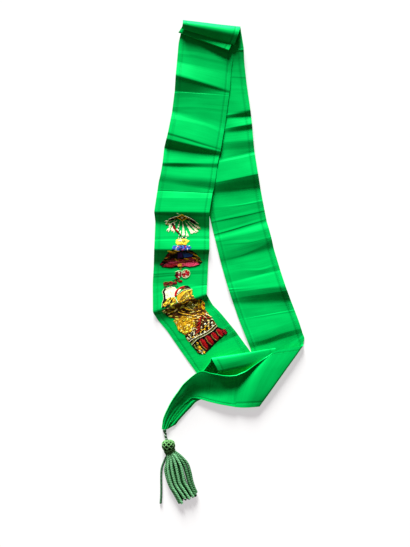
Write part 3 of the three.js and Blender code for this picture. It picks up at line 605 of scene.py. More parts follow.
class Finish:
    """A material in the making: its shader, its nodes and the links between them."""

    def __init__(self, name, sockets):
        self.material = bpy.data.materials.new(name)
        self.material.use_nodes = True
        self.tree = self.material.node_tree
        self.tree.nodes.clear()
        self.shader = self.add("BsdfPrincipled", sockets)
        self.link(self.shader, "BSDF", self.add("OutputMaterial"), "Surface")

    def add(self, kind, sockets=None, **settings):
        """A new node, with numbers and colours for its sockets and its other settings."""
        node = self.tree.nodes.new("ShaderNode" + kind)
        for name, value in settings.items():
            setattr(node, name, value)
        for socket, value in (sockets or {}).items():
            node.inputs[socket].default_value = value
        return node

    def link(self, source, output, target, socket):
        self.tree.links.new(source.outputs[output], target.inputs[socket])

    def noise(self, place, output, scale, detail):
        """Soft noise at places that another node gives."""
        node = self.add("TexNoise", {"Scale": scale, "Detail": detail})
        self.link(place, output, node, "Vector")
        return node

    def calculate(self, operation, source, output, number=0.0):
        """One sum on a node's value."""
        node = self.add("Math", {1: number}, operation=operation)
        self.link(source, output, node, 0)
        return node

    def mix_tones(self, first, first_share, second, second_share):
        """The sum of shares of two nodes' values."""
        part = self.calculate("MULTIPLY", second, "Fac", second_share)
        total = self.calculate("MULTIPLY_ADD", first, "Fac", first_share)
        self.link(part, "Value", total, 2)
        return total

    def ramp(self, source, *stops):
        """Colours between two stops of (place, colour) by a node's value."""
        node = self.add("ValToRGB")
        for element, (position, color) in zip(node.color_ramp.elements, stops):
            element.position = position
            element.color = tuple(color) + (1,)
        self.link(source, "Value", node, "Fac")
        return node

    def bump(self, source, strength, distance, target):
        """Low relief from a node's value, for the shader or under another relief."""
        node = self.add("Bump", {"Strength": strength, "Distance": distance})
        self.link(source, "Fac", node, "Height")
        self.link(node, "Normal", target, "Normal")
        return node


def satin_material(color):
    """Ribbed satin: fine ribs across the ribbon, a soft tinted gloss, faint streaking of painted sheen
    and low relief, and painted shade along each hem's seam.
    """
    finish = Finish("green_satin", {
        "Roughness": 0.42, "Specular IOR Level": 0.35, "Specular Tint": SATIN_GLOSS,
        "Sheen Weight": 0.15, "Sheen Roughness": 0.4, "Sheen Tint": SATIN_GLOSS,
    })
    place = finish.add("UVMap", uv_map="cloth")
    # long streaking across the ribbon: painted sheen in the colour, and a faint relief
    streak_place = finish.add("Mapping", {"Scale": (9, 420, 1)})
    finish.link(place, "UV", streak_place, "Vector")
    sheen_and_relief_streaks = finish.noise(streak_place, "Vector", 1.0, 3.0)
    # ribs of the weave
    ribs = finish.add("TexWave", {"Scale": 350, "Distortion": 0.6, "Detail": 2.0}, bands_direction="Y")
    finish.link(place, "UV", ribs, "Vector")
    # broad unevenness of the dye
    cloud = finish.noise(place, "UV", 22, 2.0)
    tone = finish.mix_tones(sheen_and_relief_streaks, 0.5, cloud, 0.5)
    ramp = finish.ramp(
        tone, (0.3, (color[0] * 0.8, color[1] * 0.88, color[2] * 0.85)),
        (0.72, (color[0] * 1.2, color[1] * 1.1, color[2] * 1.12)),
    )
    # painted shade: each hem's seam is darkened in the colour, for the shade in its drawn-in groove
    parts = finish.add("SeparateXYZ")
    finish.link(place, "UV", parts, "Vector")
    from_edge = finish.calculate("PINGPONG", parts, "X", 0.05)
    from_seam = finish.calculate("SUBTRACT", from_edge, "Value", 0.0088)
    distance = finish.calculate("ABSOLUTE", from_seam, "Value")
    seam = finish.add("MapRange", {"From Max": 0.0024, "To Min": 0.78, "To Max": 1.0})
    finish.link(distance, "Value", seam, "Value")
    seam_shaded = finish.add("HueSaturation")
    finish.link(seam, "Result", seam_shaded, "Value")
    finish.link(ramp, "Color", seam_shaded, "Color")
    finish.link(seam_shaded, "Color", finish.shader, "Base Color")
    rib_relief = finish.bump(ribs, 0.25, 0.0001, finish.shader)
    finish.bump(sheen_and_relief_streaks, 0.35, 0.0003, rib_relief)
    return finish.material


def thread_material(name, color, roughness=0.55, sheen=0.12):
    """Silky thread: a tone for each stitch from its shade, with fine fibres."""
    finish = Finish(name, {
        "Roughness": roughness, "Specular IOR Level": 0.2,
        "Sheen Weight": sheen, "Sheen Roughness": 0.4, "Sheen Tint": color + (1,),
    })
    shade = finish.add("Attribute", attribute_name="shade")
    fibres = finish.noise(finish.add("TexCoord"), "Object", 1800, 2.0)
    tone = finish.mix_tones(fibres, 0.35, shade, 0.65)
    ramp = finish.ramp(tone, (0.15, [c * 0.55 for c in color]), (0.85, [min(1, c * 1.3) for c in color]))
    finish.link(ramp, "Color", finish.shader, "Base Color")
    finish.bump(fibres, 0.3, 0.0001, finish.shader)
    return finish.material


SURFACES = {}


def sash_surface():
    """The ribbon's surface, worked out once."""
    if "ribbon" not in SURFACES:
        SURFACES["ribbon"] = make_surface(bpy.context.scene.sash_cloth)
    return SURFACES["ribbon"]


class SASH_OT_ribbon(bpy.types.Operator):
    """Make the folded ribbon of satin with its turned hems"""

    bl_idname = "sash.ribbon"
    bl_label = "Ribbon"

    def execute(self, context):
        cloth = context.scene.sash_cloth
        surface = sash_surface()
        rows, columns = surface.points.shape[:2]
        points = np.concatenate([surface.front.reshape(-1, 3), surface.back.reshape(-1, 3)])
        back = rows * columns
        faces, places = [], []

        def place(i, j):
            return (surface.across[j] * cloth.width, surface.along[i, columns // 2] * MM)

        def quad(corners):
            faces.append([side + i * columns + j for side, i, j in corners])
            places.extend(place(i, j) for _, i, j in corners)

        for i in range(rows - 1):
            for j in range(columns - 1):
                quad(((0, i, j), (0, i + 1, j), (0, i + 1, j + 1), (0, i, j + 1)))
                quad(((back, i, j), (back, i, j + 1), (back, i + 1, j + 1), (back, i + 1, j)))
            last = columns - 1
            quad(((0, i, 0), (back, i, 0), (back, i + 1, 0), (0, i + 1, 0)))
            quad(((0, i, last), (0, i + 1, last), (back, i + 1, last), (back, i, last)))
        for j in range(columns - 1):
            last = rows - 1
            quad(((0, 0, j), (0, 0, j + 1), (back, 0, j + 1), (back, 0, j)))
            quad(((0, last, j), (back, last, j), (back, last, j + 1), (0, last, j + 1)))
        mesh = bpy.data.meshes.new("satin_ribbon")
        mesh.from_pydata([tuple(point) for point in points], [], faces)
        layer = mesh.uv_layers.new(name="cloth")
        layer.data.foreach_set("uv", [value for pair in places for value in pair])
        mesh.materials.append(satin_material(cloth.color))
        item = show("satin_ribbon", mesh)
        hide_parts("sash_ribbon")
        return {"FINISHED"}


def on_column(grid, lengths, column, s):
    """A point or normal on one column of the ribbon, at a length along it."""
    return Vector([np.interp(s, lengths, grid[:, column, k]) for k in range(3)])


class SASH_OT_hem_stitches(bpy.types.Operator):
    """Sew the small stitches along both hems, on both faces of the ribbon"""

    bl_idname = "sash.hem_stitches"
    bl_label = "Hem stitches"

    def execute(self, context):
        cloth = context.scene.sash_cloth
        surface = sash_surface()
        inset = np.minimum(surface.across, 1 - surface.across) * cloth.width
        piece = Piece()
        shades = random.Random(31)
        for column in np.flatnonzero(np.isclose(inset, cloth.stitch_inset)):
            lengths = surface.along[:, column]
            for face, outward in ((surface.front, 1), (surface.back, -1)):
                for start in np.arange(FIRST_STITCH, lengths[-1] - LAST_STITCH, STITCH_PITCH):
                    spots, normals = [], []
                    for share, _, _ in STITCH_RINGS:
                        s = start + share * STITCH_LENGTH
                        spots.append(on_column(face, lengths, column, s))
                        normals.append(outward * on_column(surface.normals, lengths, column, s).normalized())
                    way = (spots[-1] - spots[0]).normalized()
                    rings = []
                    for spot, normal, (_, rise, thick) in zip(spots, normals, STITCH_RINGS):
                        side = way.cross(normal).normalized()
                        center = spot + normal * rise * MM
                        rings.append(ring_round(center, side, normal, thick * MM, thick * MM, 5))
                    piece.tube(rings, 0, shades.uniform(0.3, 0.7))
        item = piece.build("hem_stitches", [thread_material("green_thread", (0.002, 0.42, 0.1))])
        return {"FINISHED"}


# ---- threads, cords and the places they follow


def panel_place(surface, across_mm, along_mm):
    """The point and normal of the panel's front, by distances from its middle and its first row."""
    i = bisect.bisect_right(surface.panel_along, along_mm)
    i = min(max(i, 1), len(surface.panel_along) - 1)
    span = surface.panel_along[i] - surface.panel_along[i - 1]
    share = (along_mm - surface.panel_along[i - 1]) / span
    place = 0.5 + across_mm / PANEL_SPAN
    j = bisect.bisect_right(surface.place_list, place)
    j = min(max(j, 1), len(surface.place_list) - 1)
    part = (place - surface.place_list[j - 1]) / (surface.place_list[j] - surface.place_list[j - 1])
    row = surface.panel_first + i
    found = []
    for grid in (surface.front, surface.normals):
        near = grid[row - 1, j - 1] * (1 - part) + grid[row - 1, j] * part
        far = grid[row, j - 1] * (1 - part) + grid[row, j] * part
        found.append(Vector(near * (1 - share) + far * share))
    return found[0], found[1].normalized()


def ring_round(center, side, rise, wide, high, sides):
    """Points on an oval round a centre."""
    turns = [2 * math.pi * k / sides for k in range(sides)]
    return [center + side * (wide * math.cos(turn)) + rise * (high * math.sin(turn)) for turn in turns]


def crossings(outline, level):
    """Where a level line crosses a closed outline of (across, level) points."""
    found = []
    for (x0, y0), (x1, y1) in zip(outline, outline[1:] + outline[:1]):
        if (y0 <= level) != (y1 <= level):
            found.append(x0 + (x1 - x0) * (level - y0) / (y1 - y0))
    return sorted(found)


# ---- shapes of the embroidery, as outlines across and along the panel in millimetres


def leaf(start, end, width, bend=0.0):
    """A pointed leaf from start to end, bent to one side."""
    length = math.dist(start, end)
    way = ((end[0] - start[0]) / length, (end[1] - start[1]) / length)
    side = (-way[1], way[0])
    right, left = [], []
    for k in range(LEAF_POINTS):
        t = k / (LEAF_POINTS - 1)
        half = width / 2 * math.sin(math.pi * t) ** 0.8 if 0 < t < 1 else 0
        swing = bend * math.sin(math.pi * t)
        middle = [start[n] + way[n] * length * t + side[n] * swing for n in (0, 1)]
        right.append(tuple(middle[n] + side[n] * half for n in (0, 1)))
        left.append(tuple(middle[n] - side[n] * half for n in (0, 1)))
    return right + left[-2:0:-1]


def wedge(tip, end, width, tip_width=0.5):
    """A ray, narrow at its tip and wide at its end."""
    length = math.dist(tip, end)
    side = (-(end[1] - tip[1]) / length, (end[0] - tip[0]) / length)
    return [
        (tip[0] + side[0] * tip_width / 2, tip[1] + side[1] * tip_width / 2),
        (end[0] + side[0] * width / 2, end[1] + side[1] * width / 2),
        (end[0] - side[0] * width / 2, end[1] - side[1] * width / 2),
        (tip[0] - side[0] * tip_width / 2, tip[1] - side[1] * tip_width / 2),
    ]


def disc(x, y, wide, high, points=12):
    turns = [2 * math.pi * k / points for k in range(points)]
    return [(x + wide * math.cos(turn), y + high * math.sin(turn)) for turn in turns]


def angle_of(start, end):
    return math.degrees(math.atan2(end[1] - start[1], end[0] - start[0]))


THREAD_COLORS = {
    "cream": (0.93, 0.85, 0.56),
    "straw": (0.84, 0.64, 0.25),
    "dark": (0.016, 0.008, 0.005),
    "crimson": (0.34, 0.004, 0.014),
    "red": (0.52, 0.008, 0.012),
    "yellow": (0.98, 0.72, 0.08),
    "gold": (0.92, 0.47, 0.02),
    "brown": (0.2, 0.075, 0.008),
    "blue": (0.06, 0.17, 0.62),
    "purple": (0.09, 0.025, 0.19),
    "rose": (0.72, 0.07, 0.16),
    "olive": (0.3, 0.3, 0.05),
}


class Needle:
    """Sews one motif of the panel: single threads, filled shapes and lines."""

    def __init__(self, seed, *colors, down=0.0, slant=0.0):
        self.surface = sash_surface()
        self.down = down
        self.slant = slant
        self.rng = random.Random(seed)
        self.piece = Piece()
        self.colors = colors

    def thread(self, start, end, lift, wide, color, tone):
        """One raised thread from start to end, its ends dipping into the cloth."""
        length = math.dist(start, end)
        if length < 0.35:
            return
        count = 4 if length < 3 else 5 if length < 7 else 7
        places = []
        for k in range(count):
            t = k / (count - 1)
            across = start[0] + (end[0] - start[0]) * t
            along = start[1] + (end[1] - start[1]) * t + self.down - self.slant * across
            point, normal = panel_place(self.surface, across, along)
            height = (lift + 0.28 * math.sin(math.pi * t) ** 0.5 - 0.05) * MM
            places.append((point + normal * height, normal))
        rings = []
        for k, (point, normal) in enumerate(places):
            way = places[min(k + 1, count - 1)][0] - places[max(k - 1, 0)][0]
            side = way.normalized().cross(normal)
            taper = 0.55 if k in (0, count - 1) else 1
            rings.append(ring_round(point, side, normal, wide * taper * MM, wide * 0.62 * taper * MM, 6))
        self.piece.tube(rings, self.colors.index(color), tone)

    def fill(self, outline, angle, color, lift=0.2, spacing=0.72, longest=6.0, tone=0.5):
        """Fills an outline with satin stitches at an angle, laid like bricks where they are long."""
        turn = math.radians(angle)
        cosine, sine = math.cos(turn), math.sin(turn)
        turned = [(x * cosine + y * sine, -x * sine + y * cosine) for x, y in outline]
        lowest = min(y for _, y in turned)
        highest = max(y for _, y in turned)
        lines = max(1, round((highest - lowest) / spacing))
        for line in range(lines):
            level = lowest + (line + 0.5) * (highest - lowest) / lines
            cuts = crossings(turned, level)
            for left, right in zip(cuts[::2], cuts[1::2]):
                left -= self.rng.uniform(0, 0.25)
                right += self.rng.uniform(0, 0.25)
                steps = max(1, math.ceil((right - left) / longest))
                offset = 0.5 * (line % 2) if steps > 1 else 0
                edges = [left]
                for k in range(steps + 1):
                    edge = left + (right - left) * (k + offset + self.rng.uniform(-0.08, 0.08)) / steps
                    if left + 0.6 < edge < right - 0.6:
                        edges.append(edge)
                edges.append(right)
                for near, far in zip(edges, edges[1:]):
                    ends = []
                    for x, y in ((near, level), (far, level + self.rng.uniform(-0.06, 0.06))):
                        ends.append((x * cosine - y * sine, x * sine + y * cosine))
                    shade = min(1, max(0, tone + self.rng.uniform(-0.25, 0.25)))
                    self.thread(ends[0], ends[1], lift, spacing * 0.56, color, shade)

    def line(self, points, color, closed=False, lift=0.55, wide=0.42, step=2.6):
        """A line of short overlapping stitches through points."""
        run = points + points[:1] if closed else points
        for start, end in zip(run, run[1:]):
            length = math.dist(start, end)
            if length < 0.01:
                continue
            parts = max(1, round(length / step))
            for k in range(parts):
                near = [start[n] + (end[n] - start[n]) * (k - 0.12) / parts for n in (0, 1)]
                far = [start[n] + (end[n] - start[n]) * (k + 1.12) / parts for n in (0, 1)]
                self.thread(near, far, lift, wide, color, self.rng.uniform(0.3, 0.7))

    def leaf(self, start, end, width, color, lift=0.3, bend=0.0, tone=0.6, edge=None):
        """A leaf of stitches along its length, with a dark or pale edge where one is named."""
        shape = leaf(start, end, width, bend)
        self.fill(shape, angle_of(start, end), color, lift, tone=tone, longest=9)
        if edge:
            self.line(shape[:LEAF_POINTS], edge, lift=lift + 0.3, wide=0.3)

    def ray(self, start, end, width, color, lift=0.3, tone=0.7, tips=3):
        """A ray of stitches that widens to its end and parts into feathered tips."""
        angle = angle_of(start, end)
        self.fill(wedge(start, end, width), angle, color, lift, spacing=0.85, longest=9, tone=tone)
        heading = math.radians(angle)
        for k in range(tips):
            off = (k - (tips - 1) / 2) * width / tips
            near = (
                end[0] - math.sin(heading) * off - math.cos(heading) * 3,
                end[1] + math.cos(heading) * off - math.sin(heading) * 3,
            )
            turn = heading + off * 0.09 + self.rng.uniform(-0.12, 0.12)
            reach = self.rng.uniform(3.5, 6.5)
            far = (near[0] + math.cos(turn) * reach, near[1] + math.sin(turn) * reach)
            self.leaf(near, far, width / tips * 0.72, color, lift + 0.1, tone=tone)

    def scatter(self, outline, count, slant, colors, lift=0.4, length=6.0, width=2.4, spread=20, tone=0.6,
                edge=None):
        """Loose leaf-shaped stitches strewn over an outline, most of them at one slant."""
        lefts, tops = zip(*outline)
        made = 0
        while made < count:
            x, y = self.rng.uniform(min(lefts), max(lefts)), self.rng.uniform(min(tops), max(tops))
            if sum(cut < x for cut in crossings(outline, y)) % 2 == 0:
                continue
            turn = math.radians(slant + self.rng.uniform(-spread, spread))
            reach = length * self.rng.uniform(0.35, 0.6)
            start = (x - math.cos(turn) * reach, y - math.sin(turn) * reach)
            end = (x + math.cos(turn) * reach, y + math.sin(turn) * reach)
            self.leaf(start, end, width * self.rng.uniform(0.7, 1.3), self.rng.choice(colors),
                      lift + self.rng.uniform(0, 0.35), self.rng.uniform(-0.8, 0.8), tone,
                      edge if made % 2 else None)
            made += 1

    def finish(self, name, node, slot):
        materials = []
        for color in self.colors:
            known = bpy.data.materials.get(color + "_thread")
            materials.append(known or thread_material(color + "_thread", THREAD_COLORS[color]))
        item = self.piece.build(name, materials)
        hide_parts(node)


class SASH_OT_ray_fan(bpy.types.Operator):
    """Stitch the cream fan of rays at the top of the panel"""

    bl_idname = "sash.ray_fan"
    bl_label = "Ray fan"

    def execute(self, context):
        needle = Needle(11, "cream", "dark", "crimson", "gold", "olive", down=1.6)
        rays = (
            ((0.5, 15.5), (2.5, 43), 5.6), ((5, 16), (19.5, 37), 7.6), ((10, 15), (27, 32), 4.2),
            ((13, 14), (29, 24.5), 2.4), ((-4.5, 16), (-9, 35), 4.4), ((-9, 15.5), (-25, 27), 4.6),
            ((-13.5, 20), (-18, 35), 7.4), ((-13, 14), (-29, 20), 2.2), ((-20, 26), (-26, 35), 4.2),
            ((7, 32), (9.5, 43), 3.6), ((-3, 33), (-4.5, 42), 3.6), ((15, 28), (24, 36), 2.4),
        )
        for start, end, width in rays:
            needle.ray(start, end, width, "cream", tone=0.68, tips=4 if width > 5 else 2)
        for side in (-1, 1):
            brush = [(side * 20, 14), (side * 31, 15), (side * 33, 26), (side * 27, 33), (side * 24, 24)]
            needle.scatter(brush, 14, 90 - side * 62, ("cream", "olive"), 0.2, 5.5, 1.1, 16, 0.45)
            needle.leaf((0, 9), (side * 26, 14.6), 6.6, "dark", 0.55, -side * 1.6)
            for k in range(3):
                start, end = (side * (14 + 3 * k), 11.5 + k), (side * (19 + 3.4 * k), 17 + 0.8 * k)
                needle.leaf(start, end, 2.4, "dark", 0.5)
            needle.line([(side * 5, 5.4), (side * 13, 8.2), (side * 25, 14)], "cream", lift=1.0, wide=0.42)
            needle.line([(side * 8, 9), (side * 16, 11.5)], "gold", lift=1.0, wide=0.28)
        needle.line([(-9, 0.5), (-4, 3.2), (0, 6)], "cream", lift=0.5, wide=0.34)
        needle.line([(-2, 3), (3, 3.6)], "olive", lift=0.5, wide=0.34)
        for start, end, width, color in (
            ((-19, 21), (-15.5, 27), 2.8, "dark"), ((-18, 26), (-13, 34), 3.6, "crimson"),
            ((-15, 25), (-12.5, 31), 2.0, "dark"), ((-14, 32), (-6, 38), 2.8, "crimson"),
            ((-9, 29), (-6.5, 32), 2.2, "dark"), ((-9, 37), (-1, 43), 2.0, "dark"),
            ((0, 46), (7, 46.5), 1.4, "dark"),
        ):
            needle.leaf(start, end, width, color, 0.8, tone=0.5)
        star = disc(0, 9, 9.0, 6.0, points=4)
        needle.fill(star, 0, "dark", lift=0.9, tone=0.5)
        needle.line(star, "gold", True, lift=1.25, wide=0.45)
        needle.line(disc(0, 9, 3.6, 3.0, points=8), "gold", True, lift=1.3, wide=0.3)
        needle.fill(disc(0, 9, 1.7, 1.6, points=8), 0, "cream", lift=1.4, tone=0.5)
        needle.finish("stitched_ray_fan", "ray_fan", "embroidery_cream")
        return {"FINISHED"}


class SASH_OT_flower_bud(bpy.types.Operator):
    """Stitch the small yellow bud"""

    bl_idname = "sash.flower_bud"
    bl_label = "Flower bud"

    def execute(self, context):
        needle = Needle(12, "yellow", "gold", "dark", "cream", "olive", down=2.4)
        body = [(-11, 50), (-6, 48.6), (6, 48.8), (14, 52), (8, 58), (2, 60), (-8, 60), (-11.5, 56)]
        needle.fill(body, 84, "yellow", lift=0.25, tone=0.75)
        needle.scatter([(0, 50), (10, 51), (8, 57), (-2, 59)], 7, 60, ("gold", "olive"), 0.5, 5, 1.7, 30, 0.5)
        needle.leaf((-9, 52), (2, 50.5), 2.6, "cream", 0.6, 0.5, 0.8)
        needle.leaf((-8, 58.5), (9, 59.5), 2.0, "gold", 0.55, -0.8)
        for k in range(5):
            needle.leaf((-8 + 3.4 * k, 48.4), (-6 + 3.4 * k, 44.6 + (k % 2)), 2.0, "cream", 0.35, 0.3, 0.7)
        needle.line([(-9, 46.5), (-3, 44.6), (1, 47), (6, 44.8)], "dark", lift=0.55, wide=0.36)
        needle.finish("stitched_flower_bud", "flower_bud", "embroidery_yellow")
        return {"FINISHED"}


class SASH_OT_blue_collar(bpy.types.Operator):
    """Stitch the blue band under the bud"""

    bl_idname = "sash.blue_collar"
    bl_label = "Blue collar"

    def execute(self, context):
        needle = Needle(13, "blue", "cream", "purple", "rose", down=1.6)
        band = [(-16, 62), (14, 61.6), (17.5, 65), (13, 70), (-9, 70.5), (-18, 68)]
        needle.fill(band, 8, "blue", lift=0.15, tone=0.55)
        needle.scatter(band, 22, 10, ("purple", "blue", "blue"), 0.35, 5, 2.0, 70, 0.5)
        needle.scatter(band, 13, 60, ("cream", "cream", "rose"), 0.6, 3.6, 1.3, 60, 0.75)
        needle.finish("stitched_blue_collar", "blue_collar", "embroidery_blue")
        return {"FINISHED"}


class SASH_OT_palm_dome(bpy.types.Operator):
    """Stitch the dome of purple and crimson leaves"""

    bl_idname = "sash.palm_dome"
    bl_label = "Palm dome"

    def execute(self, context):
        needle = Needle(14, "crimson", "rose", "purple", "dark", "gold", "blue", "brown", "olive")
        ground = [
            (-20, 71.5), (18, 71.5), (27, 79), (33, 89), (39, 97), (34, 101.5), (20, 104), (-20, 104),
            (-34, 102), (-40, 97), (-33, 89), (-27, 79),
        ]
        needle.fill(ground, 4, "dark", lift=0.08, tone=0.5)
        for side in (-1, 1):
            brush = [(side * 10, 75), (side * 24, 78), (side * 38, 95), (side * 33, 100), (side * 22, 90)]
            tints = ("brown", "crimson", "olive", "dark", "gold")
            needle.scatter(brush, 18, 30 * side, tints, 0.3, 9, 2.0, 16, 0.45)
            for k in range(5):
                start = (side * (4 + 2 * k), 91 + 2.4 * k)
                end = (side * (24 + 2.8 * k), 89 + 3.0 * k)
                color = "rose" if k % 2 else "crimson"
                needle.leaf(start, end, 4.6, color, 0.55, -side * 1.5, 0.6 + 0.1 * k, "dark")
        for k in range(6):
            left, right = (-15 + 1.5 * k, 89.5 + 2.2 * k), (13 - k, 90.5 + 2.2 * k)
            needle.leaf(left, right, 3.4, ("crimson", "rose")[k % 2], 0.7, 0.8, 0.6 + 0.05 * k, "brown")
        needle.leaf((-2, 97.5), (34, 100.5), 7.0, "rose", 0.95, 1.4, 0.9)
        needle.leaf((-2, 96), (-30, 101), 6.0, "crimson", 0.9, -1.0, 0.75)
        needle.leaf((-3, 92), (-24, 94.5), 3.8, "rose", 0.95, -0.8, 0.7)
        for start, end, width, color in (
            ((-27, 72.5), (-8, 76.5), 3.2, "gold"), ((-24, 76), (-10, 78), 1.8, "brown"),
            ((-14, 71.5), (-3, 73), 1.8, "gold"), ((9, 73.5), (24, 78), 2.6, "brown"),
            ((-13, 86), (-3, 94), 2.2, "gold"), ((4, 87), (16, 90), 2.0, "gold"),
            ((-2, 88), (-9, 90), 2.0, "brown"), ((6, 92), (18, 87.5), 1.8, "brown"),
        ):
            needle.leaf(start, end, width, color, 0.8, 0.6, 0.55)
        needle.fill([(-7.5, 76), (1, 75.5), (2, 86), (-6.5, 87)], 70, "purple", lift=0.8, tone=0.6)
        needle.fill([(2, 77), (12, 76), (21, 80), (19, 85), (4, 86)], 10, "blue", lift=0.8, tone=0.1)
        needle.line([(4, 78), (12, 76), (19, 80)], "dark", lift=1.1, wide=0.5)
        crown = [(-6, 97), (5, 97), (7, 103), (-8, 103)]
        needle.scatter(crown, 7, 15, ("gold", "rose", "gold"), 1.0, 6, 2.2, 30, 0.55)
        needle.leaf((0, 102.5), (0.5, 109), 3.4, "olive", 0.4, 0.2, 0.5, "gold")
        needle.finish("stitched_palm_dome", "palm_dome", "embroidery_crimson")
        return {"FINISHED"}


class SASH_OT_rosette(bpy.types.Operator):
    """Stitch the small red and cream rosette with its stem"""

    bl_idname = "sash.rosette"
    bl_label = "Rosette"

    def execute(self, context):
        needle = Needle(15, "red", "cream", "dark", "crimson", "rose", "brown", down=3.4)
        for (x, y), reach, ground, edge, tints in (
            ((-3.5, 114), 7.2, "crimson", "dark", ("crimson", "cream", "crimson", "dark")),
            ((9.5, 113.5), 7.4, "cream", "red", ("red", "cream", "red")),
        ):
            needle.fill(disc(x, y, reach * 0.9, reach * 0.88), 30, ground, lift=0.1, tone=0.5)
            for k in range(PETALS):
                angle = 2 * math.pi * k / PETALS + 0.3
                end = (x + math.cos(angle) * reach, y + math.sin(angle) * reach * 0.95)
                needle.leaf((x, y), end, 4.6 * reach / 8, tints[k % len(tints)], 0.4, 0.5, 0.65, edge)
            needle.fill(disc(x + 1, y, 2.2, 2.0, points=8), 0, "rose", lift=1.0)
        needle.line(disc(9.5, 113.5, 8.2, 7.8, points=9), "cream", True, lift=0.6, wide=0.5)
        needle.line([(-10, 109), (-4, 106.5), (2, 108), (5, 113)], "cream", lift=0.9, wide=0.36)
        stem = [(-8, 121), (4, 121), (5, 126), (-1, 129), (-8, 127)]
        needle.scatter(stem, 9, 60, ("brown", "dark", "crimson", "brown"), 0.3, 6, 2.4, 30, 0.5)
        needle.line([(-14, 124), (-7, 121.5), (-2, 124)], "dark", lift=0.5, wide=0.5)
        needle.finish("stitched_rosette", "rosette", "embroidery_crimson")
        return {"FINISHED"}


class SASH_OT_scroll(bpy.types.Operator):
    """Stitch the cream page with its red ribbon"""

    bl_idname = "sash.scroll"
    bl_label = "Scroll"

    def execute(self, context):
        needle = Needle(16, "cream", "red", "dark", "crimson", "gold", "brown", "yellow", down=3.2)
        page = [
            (-29, 137), (-18, 135), (-9, 136), (-5, 142), (-8, 151), (-10, 154), (-20, 153), (-28, 154),
            (-29, 146),
        ]
        needle.fill(page, 86, "cream", lift=0.2, longest=7, tone=0.8)
        needle.fill([(-31, 128), (-6, 127), (-6, 132), (-30, 133)], 4, "brown", lift=0.1, tone=0.3)
        rod = [(-32, 127.5), (-6, 127), (-6, 132.5), (-30, 134)]
        needle.scatter(rod, 14, 4, ("dark", "brown", "crimson", "brown"), 0.3, 8, 2.0, 10)
        needle.line([(-30, 134.5), (-16, 133.4), (-4, 134.5)], "dark", lift=0.8, wide=0.5)
        needle.line([(-26, 136), (-14, 135)], "cream", lift=0.9, wide=0.5)
        wave = [(-28, 136), (-31.5, 140), (-29.5, 146), (-29, 152), (-31.5, 157), (-32.5, 164)]
        for lift, shift in ((0.6, 0), (0.55, 1.1), (0.5, 2.0)):
            needle.line([(x + shift, y) for x, y in wave], "dark", lift=lift, wide=0.75)
        needle.line([(x - 1.2, y) for x, y in wave], "cream", lift=0.5, wide=0.36)
        for k in range(4):
            curl = [
                (-9.5 + k, 152), (-9 + k, 146), (-5.5 + k, 141),
                (1 + k * 0.4, 137.5 + k * 0.8), (8, 136.5 + k),
            ]
            needle.line(curl, "red", lift=0.75, wide=0.62)
        needle.leaf((-5, 148), (3, 140.5), 3.4, "cream", 0.6, -0.8, 0.75)
        for start, end, color in (((-24, 146), (-22.5, 149), "dark"), ((-17, 143), (-15, 149), "gold")):
            needle.line([start, end], color, lift=0.6, wide=0.3)
        leaves = [(-28, 153), (-10, 152), (-6, 158), (-8, 164), (-28, 165), (-31, 160)]
        needle.fill(leaves, -18, "gold", lift=0.1, tone=0.4)
        tints = ("gold", "yellow", "gold", "yellow", "dark")
        needle.scatter(leaves, 20, -18, tints, 0.4, 8, 3.0, 28, 0.7, "dark")
        needle.line([(-10, 152), (-7, 158), (-3, 165)], "cream", lift=1.1, wide=0.6)
        needle.line([(-11.5, 153), (-9, 158), (-6, 164)], "yellow", lift=1.1, wide=0.4)
        needle.finish("stitched_scroll", "scroll", "embroidery_cream")
        return {"FINISHED"}


class SASH_OT_gold_leaves(bpy.types.Operator):
    """Stitch the gold leaves beside the scroll"""

    bl_idname = "sash.gold_leaves"
    bl_label = "Gold leaves"

    def execute(self, context):
        needle = Needle(17, "yellow", "gold", "brown", "dark", "cream", "olive", down=3.0)
        needle.leaf((1, 138), (22, 147), 7.5, "dark", 0.15, -2.5, 0.5)
        shade = [(2, 138), (10, 138), (20, 144), (8, 145)]
        needle.scatter(shade, 7, 20, ("brown", "dark", "olive"), 0.35, 7, 2.0, 14, 0.4)
        ground = [(-6, 152), (4, 146), (16, 144), (23, 147), (22, 158), (12, 165), (-3, 166)]
        needle.fill(ground, -20, "gold", lift=0.15, tone=0.55)
        for k in range(6):
            start, end = (-3 + 1.4 * k, 163.5 - 1.6 * k), (20 - 0.8 * k, 156.5 - 2.3 * k)
            color, edge = ("gold", "brown") if k % 2 else ("yellow", "dark")
            needle.leaf(start, end, 3.8, color, 0.5 + 0.06 * k, -1.6, 0.72, edge)
        needle.scatter(ground, 9, -24, ("brown", "olive", "cream", "yellow"), 0.85, 6, 1.3, 26, 0.5)
        needle.leaf((6, 149), (22, 146.4), 3.2, "yellow", 0.95, -0.8, 0.9)
        needle.line([(-6, 151), (4, 145.4), (14, 143.2), (23, 145.5)], "cream", lift=0.9, wide=0.45)
        needle.line([(22.5, 146), (23, 156), (14, 164), (2, 167)], "olive", lift=0.6, wide=0.5)
        needle.finish("stitched_gold_leaves", "gold_leaves", "embroidery_gold")
        return {"FINISHED"}


